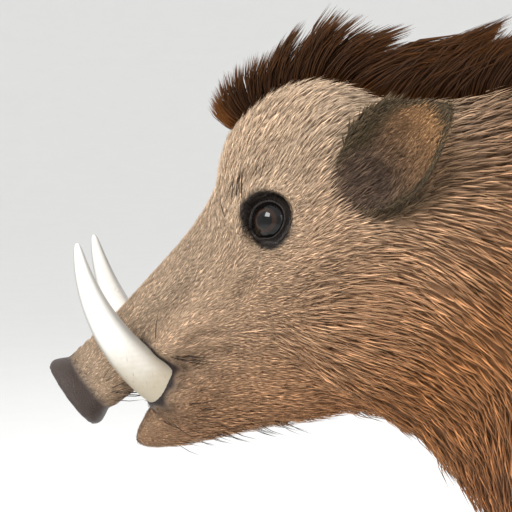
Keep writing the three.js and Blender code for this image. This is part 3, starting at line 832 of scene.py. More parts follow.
def markings(co, normals, ears):
    """The animal's colours: pale face, brown neck and trunk, dark legs, ears, lids and snout;
    painted light under the jaw, painted shade and light on the head's folds and swellings, and
    painted shade deep in the nostrils.
    """
    skin = bpy.context.scene.boar_skin
    coat = bpy.context.scene.boar_coat
    face, cheek, neck, body, trunk, leg, ear = (
        np.array(c) for c in (coat.face_colour, coat.cheek_colour, coat.neck_colour,
                              coat.body_colour, coat.trunk_colour, coat.leg_colour, coat.ear_colour)
    )
    lower = co[:, 1] - co[:, 2]  # grows backwards and downwards
    tint = ramp_colours(lower, [(-1.30, face), (-1.20, (face + cheek) / 2), (-1.11, cheek),
                                (-0.98, neck), (-0.78, body), (-0.45, trunk), (0.5, trunk * 0.9)])
    back = ease(normals[:, 2], 0.2, 0.9) * ease(co[:, 1], -0.45, -0.2)
    tint = blend_rows(tint, trunk * 0.45, 0.75 * back)
    belly = ease(-normals[:, 2], 0.3, 0.9) * ease(co[:, 1], -0.3, -0.1)
    belly *= ease(co[:, 2], 0.3, 0.36)
    tint = blend_rows(tint, cheek * 0.8, 0.35 * belly)
    tint = blend_rows(tint, leg, 1 - ease(co[:, 2], 0.20, 0.44))
    behind, above = head_frame(co)
    paler = ease(-above, 0.06, 0.12) * (1 - ease(behind, 0.34, 0.46))  # painted light under the jaw, lifting the shade that falls on its underside
    paler += ease(above, 0.05, 0.10) * (1 - ease(behind, 0.36, 0.46))  # the forehead is paler as well
    tint *= 1 + 0.22 * paler[:, None]
    # painted shade in the head's folds and painted light on its swellings
    tint *= np.clip(1 + 60 * face_relief(co) * on_head(co), 0.70, 1.12)[:, None]
    chin = ease(-above, 0.05, 0.09) * (1 - ease(behind, 0.10, 0.20))
    tint = blend_rows(tint, neck * 0.7, 0.35 * chin)
    for side in SIDES:
        around = 1 - ease(eye_oval(side, co, EYE_DARK), 0.90, 1.06)
        tint = blend_rows(tint, skin.lid_colour, around)
        share, edge, way = ear_frame(side, co)
        here = ears * (np.sign(co[:, 0]) == SIDES[side])
        tint = blend_rows(tint, ear, here)
        inner = here * ease(normals @ way, 0.0, 0.4)
        inner *= 1 - ease(edge, 0.55, 0.78)
        inner *= 1 - ease(share, 0.74, 0.86)
        tint = blend_rows(tint, ramp_colours(share, EAR_HOLLOW), inner)
    disc = 1 - ease(behind, 0.021, 0.031)
    tint = blend_rows(tint, skin.snout_colour, disc)
    for sign in SIDES.values():
        # painted shade: the nostrils' lining grows darker deep in each hole
        hole = nostril(sign, co[:, 0], above - 0.001)
        deep = (1 - ease(hole, 0.5, 0.85)) * ease(behind, 0.001, 0.006)
        deep *= 1 - ease(behind, 0.03, 0.04)
        tint = blend_rows(tint, np.array(skin.mouth_colour) * 0.5, deep)
    gape = np.maximum(mouth_gap(co, normals), gum(co))
    return blend_rows(tint, skin.mouth_colour, gape)


def gum(co):
    """1 where the skin borders a tusk, 0 away from it."""
    share = np.zeros(len(co))
    near = from_tusk(co) < 0.07
    tusks = surface_of("tusk_left", "tusk_right")
    share[near] = 1 - ease(distance_to(tusks, co[near]), 0.0066, 0.0122)
    return share


def mouth_gap(co, normals):
    """1 on the surfaces that face each other across the open mouth, 0 elsewhere."""
    behind, above = head_frame(co)
    height = -0.043 - (0.137 - behind) * 0.061 - above
    between = np.exp(-((height / 0.013) ** 4)) * (1 - ease(behind, 0.125, 0.138))
    between *= ease(behind, 0.0, 0.02)
    facing = ease(np.abs(normals @ UP), 0.55, 0.8)
    return between * facing * (1 - ease(np.abs(co[:, 0]), 0.032, 0.042))


DRIFT = (0.22, 9.0, 5)  # of the hair's lie: how strong, how many turns a metre, and its seed


def lie_of_coat(co, normals, ears):
    """The way that the hair lies at each point, along the skin."""
    _, above = head_frame(co)
    face = on_head(co, -0.50, -0.34)
    low = ease(-above, -0.02, 0.10)[:, None]
    back_and_down = BACK - np.array((0, 0, 0.45)) * low
    steep = (1 - np.abs(normals[:, 2]))[:, None]
    along_body = np.array((0.0, 1.0, 0.0)) - np.array((0, 0, 0.55)) * steep
    way = blend_rows(along_body, back_and_down, face)
    chest = ease(-normals[:, 1], 0.2, 0.8) * ease(co[:, 1], -0.46, -0.38)
    chest *= 1 - ease(co[:, 1], -0.2, -0.05)
    way = blend_rows(way, (0, 0.3, -1.0), chest)
    rump = ease(co[:, 1], 0.50, 0.66)
    way = blend_rows(way, (0, 0.25, -1.0), rump)
    legs = (1 - ease(co[:, 2], 0.36, 0.56)) * (1 - ease(-normals[:, 2], 0.5, 0.9))
    way = blend_rows(way, (0, 0.25, -1.0), legs)
    for side, sign in SIDES.items():
        away = co - eye_ball(side)[0]
        reach = np.linalg.norm(away, axis=1)
        around = np.exp(-((reach / 0.045) ** 2))[:, None]
        way = way + 1.3 * around * away / reach[:, None]
        here = ears * (np.sign(co[:, 0]) == sign)
        way = blend_rows(way, np.array(EAR_ALONG) * (sign, 1, 1), here)
    strength, pitch, seed = DRIFT
    noise.seed_set(seed)
    drift = np.array([noise.noise_vector(Vector(p) * pitch) for p in co.tolist()])
    way = unit(way) + strength * drift * (1 - 0.5 * face)[:, None]
    return unit(way - normals * np.sum(way * normals, axis=1, keepdims=True))


def hair_sizes(co, ears):
    """Length, width and lift in radians of the hair at each point."""
    coat = bpy.context.scene.boar_coat
    behind, above = head_frame(co)
    on_top = np.interp(behind, (0.02, 0.10, 0.20, 0.30, 0.38),
                       (coat.muzzle_hair * 0.7, coat.muzzle_hair, 0.009, 0.013, 0.020))
    jowl = ease(-above, 0.0, 0.11) * ease(behind, 0.10, 0.28)
    length = blend(on_top, coat.cheek_hair + 0.010 * ease(-above, 0.08, 0.15), jowl)
    chin = ease(-above, 0.085, 0.125) * (1 - ease(behind, 0.12, 0.22))
    length = blend(length, 0.016, chin)
    trunk = np.interp(co[:, 1], (-0.40, -0.2, 0.2, 0.6),
                      (coat.neck_hair, coat.body_hair, coat.body_hair, 0.038))
    length = blend(trunk, length, on_head(co, -0.47, -0.33))
    shank = np.interp(co[:, 2], (0.03, 0.12, 0.30, 0.45), (coat.foot_hair, 0.010, 0.018, 0.032))
    length = blend(length, shank, 1 - ease(co[:, 2], 0.26, 0.48))
    length = blend(length, 0.020, on_tail(co) * (co[:, 2] < 0.70))
    length = blend(length, 0.010, ears)
    for side in SIDES:
        centre, radius = eye_ball(side)
        away = np.linalg.norm(co - centre, axis=1)
        length = blend(length, 0.0055, 1 - ease(away, radius * 1.2, radius * 2.2))
    width = np.interp(length, (0.004, 0.012, 0.03, 0.05), (0.0008, 0.0012, 0.0022, 0.0033))
    lift = np.interp(length, (0.004, 0.015, 0.03, 0.05), (0.16, 0.20, 0.20, 0.17))
    return length, width, lift


def bare_skin(co, normals):
    """1 where no hair grows: snout disc, lids, mouth, and where the hooves start."""
    behind, _ = head_frame(co)
    bare = 1 - ease(behind, 0.021, 0.030)
    for side in SIDES:
        bare = np.maximum(bare, 1 - ease(eye_oval(side, co, EYE_LID), 0.92, 1.04))
    bare = np.maximum(bare, ease(mouth_gap(co, normals), 0.2, 0.6))
    bare = np.maximum(bare, ease(gum(co), 0.4, 0.8))
    return np.maximum(bare, 1 - ease(co[:, 2], 0.030, 0.036))


def unwrap(obj):
    """Lays the skin out flat, for the places of the tufts on it."""
    bpy.context.view_layer.objects.active = obj
    obj.select_set(True)
    obj.data.uv_layers.new(name="skin_uv")
    bpy.ops.object.mode_set(mode="EDIT")
    bpy.ops.mesh.select_all(action="SELECT")
    bpy.ops.uv.smart_project(angle_limit=math.radians(66), island_margin=0.001)
    bpy.ops.object.mode_set(mode="OBJECT")
    obj.select_set(False)


def dress_skin(skin):
    """Gives every point of the skin its colour, and its hair's lie and sizes."""
    mesh = skin.data
    co, normals = points_of(mesh), normals_of(mesh)
    ears = ear_leaf(co, normals, ear_share(co))
    store(mesh, "tint", markings(co, normals, ears), "FLOAT_COLOR")
    store(mesh, "flow", lie_of_coat(co, normals, ears), "FLOAT_VECTOR")
    length, width, lift = hair_sizes(co, ears)
    bare = bare_skin(co, normals)
    store(mesh, "hair_length", length)
    store(mesh, "hair_width", width)
    store(mesh, "hair_lift", lift)
    store(mesh, "bare", bare)
    thick = np.interp(co[:, 1], (-0.5, -0.3, 0.1), (1.0, 0.8, 0.55))
    store(mesh, "hair_count", thick * (1 - bare) / (length**0.85 * width))
    store(mesh, "ear", ears)


class BoarSkin(Operator):
    """One skin that replaces every solid of flesh"""

    bl_idname = "wild_boar.skin"
    bl_label = "Skin"

    def execute(self, context):
        skin = build_skin()
        unwrap(skin)
        dress_skin(skin)
        as_piece(skin, skin_finish(), FLESH)
        return {"FINISHED"}


def skin_finish():
    """Hide under short hair: streaks along the head, painted shade between the tufts, creases where
    it is bare.
    """
    finish = Finish("hide", Specular_IOR_Level=0.3)
    tint = finish.attribute("tint", "Color")
    bare = finish.attribute("bare")
    head = finish.place(turn=(math.radians(38), 0, 0), scale=(1, 0.22, 1))
    streaks = finish.noise(head, 900.0, 2.0)
    blotches = finish.noise(finish.place(), 38.0, 4.0)
    pores = finish.node(
        "ShaderNodeTexVoronoi", {"feature": "DISTANCE_TO_EDGE"},
        {"Vector": finish.place(), "Scale": 420.0}, output="Distance",
    )
    # painted shade between the tufts: the haired skin is mostly darker than its tint, and darker
    # still under the longer hair; the streaks and blotches are its grain
    tone = (0.62 + 0.40 * streaks) * (0.85 + 0.3 * blotches)
    tone = tone * (1 - bare) * (1 - 0.35 * finish.attribute("hair_length").ramp(0.014, 0.040))
    tone = tone + bare * (0.7 + 0.6 * blotches)
    height = streaks * (1 - bare) + bare * (pores.ramp(0.0, 0.3) * 0.8 + 0.5 * blotches)
    return finish.surface(
        finish.scaled(tint, tone), 0.72 - 0.28 * bare, height, depth=0.0008, strength=0.6
    )


# ------------------------------------------------------------------ eyes, tusks and hooves


DEWCLAW_SWELL = 0.0025  # so that their tips show through the hair
ROUNDING = 2  # times that the faces of a rounded piece are split


def rounded(name, nodes, swell=0.0, sharp=None):
    """Copies of solids with a finer, rounder surface; edges sharper than an angle stay crisp."""
    joined = bmesh.new()
    for node in nodes:
        add_copy(joined, node, swell + DEWCLAW_SWELL * node.startswith("dewclaw"))
    bmesh.ops.join_triangles(
        joined, faces=joined.faces, angle_face_threshold=0.5, angle_shape_threshold=1.2
    )
    crease = joined.edges.layers.float.new("crease_edge")
    for edge in joined.edges:
        if sharp and edge.calc_face_angle(0.0) > sharp:
            edge[crease] = 0.75
    piece = new_object(name, as_mesh(joined, name))
    finer_surface = piece.modifiers.new("round", "SUBSURF")
    finer_surface.levels = finer_surface.render_levels = ROUNDING
    apply_modifiers(piece)
    return piece


class BoarEyes(Operator):
    """Both eyeballs, with the clear bulge over the iris"""

    bl_idname = "wild_boar.eyes"
    bl_label = "Eyes"

    def execute(self, context):
        work = bmesh.new()
        for side in SIDES:
            centre, radius = eye_ball(side)
            bmesh.ops.create_icosphere(
                work, subdivisions=5, radius=radius, matrix=Matrix.Translation(centre)
            )
        mesh = as_mesh(work, "eyes")
        co = points_of(mesh)
        towards = np.zeros(len(co))
        for side, sign in SIDES.items():
            here = np.sign(co[:, 0]) == sign
            back, high, out, gaze = eye_plane(side, co[here])
            towards[here] = out / np.sqrt(back**2 + high**2 + out**2)
            bulge_out = 0.0009 * ease(towards[here], 0.84, 0.93)
            co[here] += bulge_out[:, None] * gaze
        place_points(mesh, co)
        store(mesh, "towards", towards)
        as_piece(new_object("eyes", mesh), eye_finish(), ["eye_left", "eye_right"])
        return {"FINISHED"}


def eye_finish():
    """Wet and almost black, with a dark brown iris round a wide pupil."""
    settings = bpy.context.scene.boar_horn
    finish = Finish("eye", Roughness=0.05, Specular_IOR_Level=0.3, Coat_Weight=0.12)
    towards = finish.attribute("towards")
    fibres = finish.noise(finish.place(), 900.0, 3.0)
    iris = finish.scaled(tuple(settings.eye_colour), 0.45 + 0.9 * fibres)
    black = linear(9, 7, 7)
    ring = finish.mix(towards.ramp(0.83, 0.88), black, iris)
    colour = finish.mix(towards.ramp(0.925, 0.94), ring, black)
    return finish.surface(colour, 0.04 + 0.03 * fibres)


class BoarTusks(Operator):
    """Both lower tusks"""

    bl_idname = "wild_boar.tusks"
    bl_label = "Tusks"

    def execute(self, context):
        nodes = ["tusk_left", "tusk_right"]
        piece = rounded("tusks", nodes, swell=TUSK_COVER)
        as_piece(piece, tusk_finish(), nodes)
        mesh = piece.data
        co = points_of(mesh)
        along = (co[:, 2] - co[:, 2].min()) / np.ptp(co[:, 2])
        co += normals_of(mesh) * (TUSK_FLARE * (1 - along) ** 0.6)[:, None]
        place_points(mesh, co)
        store(mesh, "along", along)
        # painted shade: 1 where the surface turns away from the side, where the ivory is greyed
        store(mesh, "edge", 1 - np.abs(normals_of(mesh)[:, 0]))
        return {"FINISHED"}


def tusk_finish():
    """Ivory: white along the middle, greyed by painted shade where it turns away from the side,
    stained where it leaves the lip.
    """
    settings = bpy.context.scene.boar_horn
    finish = Finish("ivory", Specular_IOR_Level=0.45)
    along = finish.attribute("along")
    edge = finish.attribute("edge")
    fine = finish.noise(finish.place(scale=(1, 1, 0.12)), 420.0, 3.0)
    cloud = finish.noise(finish.place(), 45.0, 4.0)
    rings = (along * 210.0 + cloud * 5.0).math("SINE")
    ivory = tuple(settings.tusk_colour)
    # painted shade: grey where the tusk turns away from the side
    grey = finish.mix(edge.ramp(0.12, 0.65) * 0.9, ivory, linear(146, 144, 140))
    stained = (along * -1.0 + 0.55 + 0.25 * cloud).ramp(0.18, 0.52)
    colour = finish.mix(stained * 0.85, grey, tuple(settings.tusk_stain))
    cracks = fine.ramp(0.62, 0.75) * (0.35 + 0.4 * stained)
    colour = finish.mix(cracks, colour, linear(128, 110, 86))
    height = 0.5 * rings * (1 - along) + fine * 0.8
    return finish.surface(
        finish.scaled(colour, 0.92 + 0.12 * cloud), 0.30 + 0.22 * cloud + 0.15 * stained,
        height, depth=0.0004, strength=0.5,
    )


class BoarHooves(Operator):
    """Hooves and dew claws of all four feet"""

    bl_idname = "wild_boar.hooves"
    bl_label = "Hooves"

    def execute(self, context):
        piece = rounded("hooves", HORN, sharp=math.radians(42))
        as_piece(piece, hoof_finish(), HORN)
        return {"FINISHED"}


def hoof_finish():
    """Dark horn with growth rings, upright fibres, and a worn and dusty lower edge."""
    settings = bpy.context.scene.boar_horn
    finish = Finish("hoof_horn", Specular_IOR_Level=0.4)
    here = finish.place()
    above_floor = finish.node("ShaderNodeSeparateXYZ", None, {0: here}, output=2)
    cloud = finish.noise(here, 60.0, 4.0)
    fibres = finish.noise(finish.place(scale=(1, 1, 0.08)), 900.0, 2.0)
    rings = (above_floor * 1500.0 + cloud * 7.0).math("SINE")
    worn = 1 - above_floor.ramp(0.001, 0.012 + 0.012 * cloud)
    tone = (0.7 + 0.6 * cloud) * (0.9 + 0.12 * rings) * (0.8 + 0.4 * fibres)
    horn = finish.scaled(tuple(settings.hoof_colour), tone)
    colour = finish.mix(worn * 0.6, horn, linear(104, 92, 78))
    height = rings * 0.6 + fibres * 0.7 + cloud * worn
    roughness = 0.42 + 0.35 * worn + 0.1 * cloud
    return finish.surface(colour, roughness, height, depth=0.0006, strength=0.6)


# ------------------------------------------------------------------ coat


class Growth:
    """A geometry node tree that plants hair, built node by node."""

    def __init__(self, name):
        self.group = bpy.data.node_groups.new(name, "GeometryNodeTree")
        for way in ("INPUT", "OUTPUT"):
            self.group.interface.new_socket(
                "Geometry", in_out=way, socket_type="NodeSocketGeometry"
            )
        self.given = {}

    def inputs(self, **kinds):
        """Adds the named inputs, and the node that gives their values."""
        for name, kind in kinds.items():
            socket = self.group.interface.new_socket(
                name, in_out="INPUT", socket_type=f"NodeSocket{kind}"
            )
            self.given[name] = socket.identifier
        return self.node("NodeGroupInput")

    def node(self, kind, settings=None, inputs=None):
        node = self.group.nodes.new(kind)
        for name, value in (settings or {}).items():
            setattr(node, name, value)
        for key, value in (inputs or {}).items():
            if isinstance(value, bpy.types.NodeSocket):
                self.group.links.new(value, node.inputs[key])
            else:
                node.inputs[key].default_value = value
        return node

    def read(self, name, kind="FLOAT"):
        node = self.node("GeometryNodeInputNamedAttribute", {"data_type": kind}, {"Name": name})
        return node.outputs["Attribute"]

    def keep(self, geometry, name, value, kind="FLOAT", domain="POINT"):
        node = self.node(
            "GeometryNodeStoreNamedAttribute", {"data_type": kind, "domain": domain},
            {"Geometry": geometry, "Name": name, "Value": value},
        )
        return node.outputs["Geometry"]

    def chance(self, low, high, seed, step):
        node = self.node(
            "FunctionNodeRandomValue", {"data_type": "FLOAT"},
            {2: low, 3: high, "Seed": self.sum(seed, step)},
        )
        return node.outputs[1]

    def sum(self, first, second, operation="ADD"):
        node = self.node("ShaderNodeMath", {"operation": operation}, {0: first, 1: second})
        return node.outputs[0]

    def times(self, first, second):
        return self.sum(first, second, "MULTIPLY")

    def vector(self, x, y, z):
        return self.node("ShaderNodeCombineXYZ", None, {0: x, 1: y, 2: z}).outputs[0]

    def combine(self, operation, first, second):
        node = self.node("ShaderNodeVectorMath", {"operation": operation}, {0: first, 1: second})
        return node.outputs[0]


def hair_growth(name, scattered):
    """The tree that plants locks: scattered over the faces, or one on each point of the mesh.
    Each lock lies along its root's flow, lifted off the skin, with its own size and shade."""
    tree = Growth(name)
    given = tree.inputs(
        Lock="Object", Spare="Object", Density="Float", Length="Float", Width="Float",
        Spread="Float", Patch="Float", Seed="Int", Material="Material",
    )
    seed = given.outputs["Seed"]
    if scattered:
        spots = tree.node(
            "GeometryNodeDistributePointsOnFaces", {"distribute_method": "RANDOM"},
            {"Mesh": given.outputs["Geometry"], "Seed": seed,
             "Density": tree.times(tree.read("hair_count"), given.outputs["Density"])},
        )
        points, normal = spots.outputs["Points"], spots.outputs["Normal"]
    else:
        spots = tree.node("GeometryNodeMeshToPoints", None, {"Mesh": given.outputs["Geometry"]})
        points, normal = spots.outputs["Points"], tree.read("rise", "FLOAT_VECTOR")
    points = tree.keep(points, "shade", tree.chance(0.0, 1.0, seed, 1))
    stand = tree.node(
        "FunctionNodeAxesToRotation", {"primary_axis": "Z", "secondary_axis": "X"},
        {"Primary Axis": normal, "Secondary Axis": tree.read("flow", "FLOAT_VECTOR")},
    )
    spread = given.outputs["Spread"]
    lift = tree.times(tree.read("hair_lift"), tree.chance(-1.55, -0.45, seed, 2))
    turn = tree.vector(
        tree.times(spread, tree.chance(-2.0, 2.0, seed, 3)), lift,
        tree.times(spread, tree.chance(-1.0, 1.0, seed, 4)),
    )
    turned = tree.node(
        "FunctionNodeRotateRotation", {"rotation_space": "LOCAL"},
        {"Rotation": stand.outputs[0],
         "Rotate By": tree.node("FunctionNodeEulerToRotation", None, {0: turn}).outputs[0]},
    )
    length = tree.times(tree.read("hair_length"), given.outputs["Length"])
    length = tree.times(length, tree.chance(0.72, 1.18, seed, 5))
    width = tree.times(tree.read("hair_width"), given.outputs["Width"])
    width = tree.times(width, tree.chance(0.7, 1.2, seed, 6))
    shapes = tree.node("GeometryNodeJoinGeometry")
    for source in ("Spare", "Lock"):
        shape = tree.node("GeometryNodeObjectInfo", None, {"Object": given.outputs[source]})
        held = tree.node(
            "GeometryNodeGeometryToInstance", None, {"Geometry": shape.outputs["Geometry"]}
        )
        tree.group.links.new(held.outputs[0], shapes.inputs[0])
    pick = tree.node(
        "FunctionNodeRandomValue", {"data_type": "INT"}, {4: 0, 5: 1, "Seed": tree.sum(seed, 7)}
    )
    planted = tree.node(
        "GeometryNodeInstanceOnPoints", None,
        {"Points": points, "Instance": shapes.outputs[0], "Pick Instance": True,
         "Instance Index": pick.outputs[2], "Rotation": turned.outputs[0],
         "Scale": tree.vector(length, width, length)},
    )
    solid = tree.node("GeometryNodeRealizeInstances", None, {0: planted.outputs[0]}).outputs[0]
    size = given.outputs["Patch"]
    within = tree.vector(
        tree.sum(tree.read("along"), -0.5), tree.sum(tree.read("across"), -0.5), 0.0
    )
    within = tree.combine("MULTIPLY", within, tree.vector(size, size, 0.0))
    place = tree.combine("ADD", tree.read("skin_uv", "FLOAT_VECTOR"), within)
    solid = tree.keep(solid, "OFBake", place, "FLOAT2", "CORNER")
    spent = ["flow", "hair_length", "hair_width", "hair_lift", "skin_uv", "across"]
    for name in (*spent, "hair_count" if scattered else "rise"):
        solid = tree.node("GeometryNodeRemoveAttribute", None, {0: solid, "Name": name}).outputs[0]
    coated = tree.node(
        "GeometryNodeSetMaterial", None, {"Geometry": solid, "Material": given.outputs["Material"]}
    )
    tree.node("NodeGroupOutput", None, {0: coated.outputs[0]})
    return tree


LOCK_ROOT = 0.04  # share of its length that a lock reaches back into the skin


def lock_shape(name, heights, widths, thick=0.016):
    """A thin pointed lock, one unit long towards +X and one wide, with its rings at even steps.
    Each ring is a flat triangle whose ridge is on top."""
    steps = len(heights) - 1
    verts, along, across = [], [], []
    for i in range(steps):
        t = i / steps
        half = widths[i] / 2
        for y, z, side in ((-half, 0, 0.0), (half, 0, 1.0), (0, thick, 0.5)):
            verts.append((t - LOCK_ROOT * (i == 0), y, heights[i] + z))
            along.append(t)
            across.append(side)
    verts.append((1.0, 0.0, heights[-1]))
    along.append(1.0)
    across.append(0.5)
    faces = [(0, 2, 1)]
    for i in range(steps - 1):
        for k in range(3):
            j = (k + 1) % 3
            a, b = 3 * i, 3 * i + 3
            faces.append((a + k, a + j, b + j, b + k))
    last = 3 * (steps - 1)
    faces += [(last + k, last + (k + 1) % 3, len(verts) - 1) for k in range(3)]
    mesh = bpy.data.meshes.new(name)
    mesh.from_pydata(verts, [], faces)
    work = bmesh.new()
    work.from_mesh(mesh)
    bmesh.ops.recalc_face_normals(work, faces=work.faces)
    work.to_mesh(mesh)
    work.free()
    store(mesh, "along", along)
    store(mesh, "across", across)
    mesh.shade_smooth()
    lock = new_object(name, mesh)
    lock.hide_render = True
    return lock


HAIR_VALUES = ("tint", "flow", "hair_length", "hair_width", "hair_lift", "hair_count")


def patch(name, mesh, faces):
    """Some faces of the skin as a mesh of their own, with all that its hair needs."""
    starts = numbers(mesh.polygons, "loop_start", kind=np.int32)
    totals = numbers(mesh.polygons, "loop_total", kind=np.int32)
    corners = numbers(mesh.loops, "vertex_index", kind=np.int32)
    starts, totals = starts[faces], totals[faces]
    picked = [np.arange(start, start + total) for start, total in zip(starts, totals)]
    picked = np.concatenate(picked)
    used, local = np.unique(corners[picked], return_inverse=True)
    bounds = np.concatenate(([0], np.cumsum(totals)))
    part = bpy.data.meshes.new(name)
    part.from_pydata(
        points_of(mesh)[used].tolist(), [],
        [local[first:last].tolist() for first, last in zip(bounds[:-1], bounds[1:])],
    )
    for value in HAIR_VALUES:
        store(part, value, read(mesh, value)[used], mesh.attributes[value].data_type)
    store(part, "skin_uv", read(mesh, "skin_uv")[picked], "FLOAT2", "CORNER")
    part.shade_smooth()
    return part


PATCH = 0.003  # width of a tuft's patch on its OFBake map


def grow(name, mesh, tree, slot, **given):
    """Plants hair on a mesh and keeps the result as a plain piece."""
    piece = new_object(name, mesh)
    hair = piece.modifiers.new("hair", "NODES")
    hair.node_group = tree.group
    for key, value in dict(Length=1.0, Width=1.0, Patch=PATCH, **given).items():
        hair[tree.given[key]] = value
    apply_modifiers(piece)
    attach(piece, "root")
    return piece


def hair_finish(name, pale_tips=0.25, grizzle=0.4):
    """Coarse hair: each lock has its own random tone, with painted shade darkening it towards the
    root, and a paler split tip.
    """
    finish = Finish(name, Specular_IOR_Level=0.28)
    tint = finish.attribute("tint", "Color")
    shade = finish.attribute("shade")
    along = finish.attribute("along")
    grain = finish.noise(finish.place(), 60.0, 3.0)
    # painted shade: each lock darkens towards its root, where the coat over it would shade it
    tone = (0.68 + 0.58 * shade) * (0.66 + 0.46 * along.ramp(0.0, 0.55)) * (0.86 + 0.28 * grain)
    pale = finish.mix(pale_tips, tint, linear(214, 182, 142))
    light, dark = shade.ramp(0.86, 0.92), 1 - shade.ramp(0.06, 0.12)
    grizzled = finish.mix(light * grizzle, tint, finish.scaled(tint, 2.2))
    grizzled = finish.mix(dark * grizzle, grizzled, finish.scaled(tint, 0.3))
    colour = finish.mix(along.ramp(0.6, 1.0) * shade, grizzled, pale)
    return finish.surface(finish.scaled(colour, tone), 0.58 + 0.2 * shade)


MOST_TUFTS = 19200  # in one piece, which keeps it under 200,000 triangles


class BoarCoat(Operator):
    """The coat, in short tufts that follow the body"""

    bl_idname = "wild_boar.coat"
    bl_label = "Coat"

    def execute(self, context):
        settings = context.scene.boar_coat
        mesh = bpy.data.objects["skin"].data
        tree = hair_growth("coat_growth", scattered=True)
        locks = (
            lock_shape("lock_low", (-0.05, 0.07, 0.03), (1.0, 0.78)),
            lock_shape("lock_high", (-0.05, 0.10, 0.10), (1.0, 0.7)),
        )
        finish = hair_finish("coat_hair")
        centre = numbers(mesh.polygons, "center", 3)
        corners = np.array([p.vertices[0] for p in mesh.polygons])
        wanted = numbers(mesh.polygons, "area") * read(mesh, "hair_count")[corners]
        density = settings.tufts / wanted.sum()
        wanted *= density
        on_ear = read(mesh, "ear")[corners] > 0.5
        on_leg = (centre[:, 2] < 0.40) & ~on_ear
        on_face = (centre[:, 1] < -0.42) & ~on_ear
        rest = ~(on_ear | on_leg | on_face)
        left = centre[:, 0] > 0
        regions = [
            ("coat_ears", "ear", on_ear), ("coat_legs", "leg", on_leg),
            ("coat_face_left", "face", on_face & left),
            ("coat_face_right", "face", on_face & ~left),
            ("coat_body_left", "coat", rest & left), ("coat_body_right", "coat", rest & ~left),
        ]
        seed = 1
        # each region is cut from front to back into parts with like numbers of tufts
        for name, slot, region in regions:
            faces = np.nonzero(region)[0]
            faces = faces[np.argsort(centre[faces, 1], kind="stable")]
            parts = max(1, math.ceil(wanted[faces].sum() / MOST_TUFTS))
            before = np.cumsum(wanted[faces])
            cut = np.searchsorted(before, before[-1] * np.arange(1, parts) / parts)
            for i, some in enumerate(np.split(faces, cut)):
                title = name if parts == 1 else f"{name}_{i + 1}"
                seed += 1
                grow(
                    title, patch(title, mesh, np.sort(some)), tree, slot, Lock=locks[0],
                    Spare=locks[1], Density=density, Spread=0.16, Seed=seed * 10, Material=finish,
                )
        for lock in locks:
            bpy.data.objects.remove(lock)
        return {"FINISHED"}


# ------------------------------------------------------------------ mane, tail and whiskers


class Ground:
    """The finished skin as a place to plant single bristles."""

    def __init__(self):
        mesh = bpy.data.objects["skin"].data
        self.growth = hair_growth("bristle_growth", scattered=False)
        self.co = points_of(mesh)
        self.normals = normals_of(mesh)
        self.tint = read(mesh, "tint")[:, :3]
        self.flow = read(mesh, "flow")
        self.ear = read(mesh, "ear")
        self.bare = read(mesh, "bare")
        faces = [tuple(p.vertices) for p in mesh.polygons]
        self.tree = BVHTree.FromPolygons(self.co.tolist(), faces)
        self.flat = read(mesh, "skin_uv")[numbers(mesh.polygons, "loop_start", kind=np.int32)]

    def top(self, x, y):
        """The highest place of the skin over a place on the floor."""
        return np.array(self.tree.ray_cast((x, y, 2.0), (0, 0, -1))[0])

    def pick(self, weight, count, seed):
        """Some points of the skin, drawn by weight."""
        draw = np.random.default_rng(seed)
        return draw.choice(len(weight), size=count, p=weight / weight.sum())

    def plant(self, name, slot, lock, finish, roots, way, rise, length, width, tint, spread, seed):
        """Grows one bristle on each root. A bristle runs along its way, bent against its rise."""
        mesh = bpy.data.meshes.new(name)
        mesh.from_pydata(roots.tolist(), [], [])
        count = len(roots)
        # a way that runs straight along its rise would have no side to bend to
        rise = rise + 0.01 * np.cross(way, (0.3, 0.5, 0.8))
        rise = unit(rise - way * np.sum(rise * way, axis=1, keepdims=True))
        flat = np.array([self.flat[self.tree.find_nearest(p)[2]] for p in roots.tolist()])
        store(mesh, "skin_uv", flat, "FLOAT2")
        store(mesh, "flow", way, "FLOAT_VECTOR")
        store(mesh, "rise", rise, "FLOAT_VECTOR")
        store(mesh, "hair_length", np.broadcast_to(length, count))
        store(mesh, "hair_width", np.broadcast_to(width, count))
        store(mesh, "hair_lift", np.zeros(count))
        store(mesh, "tint", np.broadcast_to(tint, (count, 3)), "FLOAT_COLOR")
        return grow(
            name, mesh, self.growth, slot,
            Lock=lock, Spare=lock, Density=1.0, Spread=spread, Seed=seed, Material=finish,
        )

    def plant_on(self, some, name, slot, lock, finish, way, **looks):
        """The same on some points of the skin, from which the bristles bend away."""
        roots, rise = self.co[some], self.normals[some]
        return self.plant(name, slot, lock, finish, roots, way, rise, **looks)

    def standing(self, some, much):
        """The lie of the hair at some points, stood up from the skin."""
        return unit(self.flow[some] + self.normals[some] * much)


def crest_roots(ground, settings, draw):
    """Roots along the crest from the forehead to the back, and where each lies on its way."""
    low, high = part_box("mane")
    y = np.linspace(low.y + 0.013, high.y - 0.030, 220)
    line = np.array([ground.top(0.0, at) for at in y])
    reach = np.concatenate(([0.0], np.cumsum(np.linalg.norm(np.diff(line, axis=0), axis=1))))
    along = draw.random(settings.bristles) * reach[-1]
    along.sort()
    centre = np.column_stack([np.interp(along, reach, line[:, i]) for i in range(3)])
    tangent = np.gradient(line, reach, axis=0)
    kernel = np.ones(15) / 15
    tangent = np.column_stack(
        [np.convolve(np.pad(part, 7, mode="edge"), kernel, "valid") for part in tangent.T]
    )
    tangent = unit(np.column_stack([np.interp(along, reach, tangent[:, i]) for i in range(3)]))
    return along, reach[-1], centre, tangent


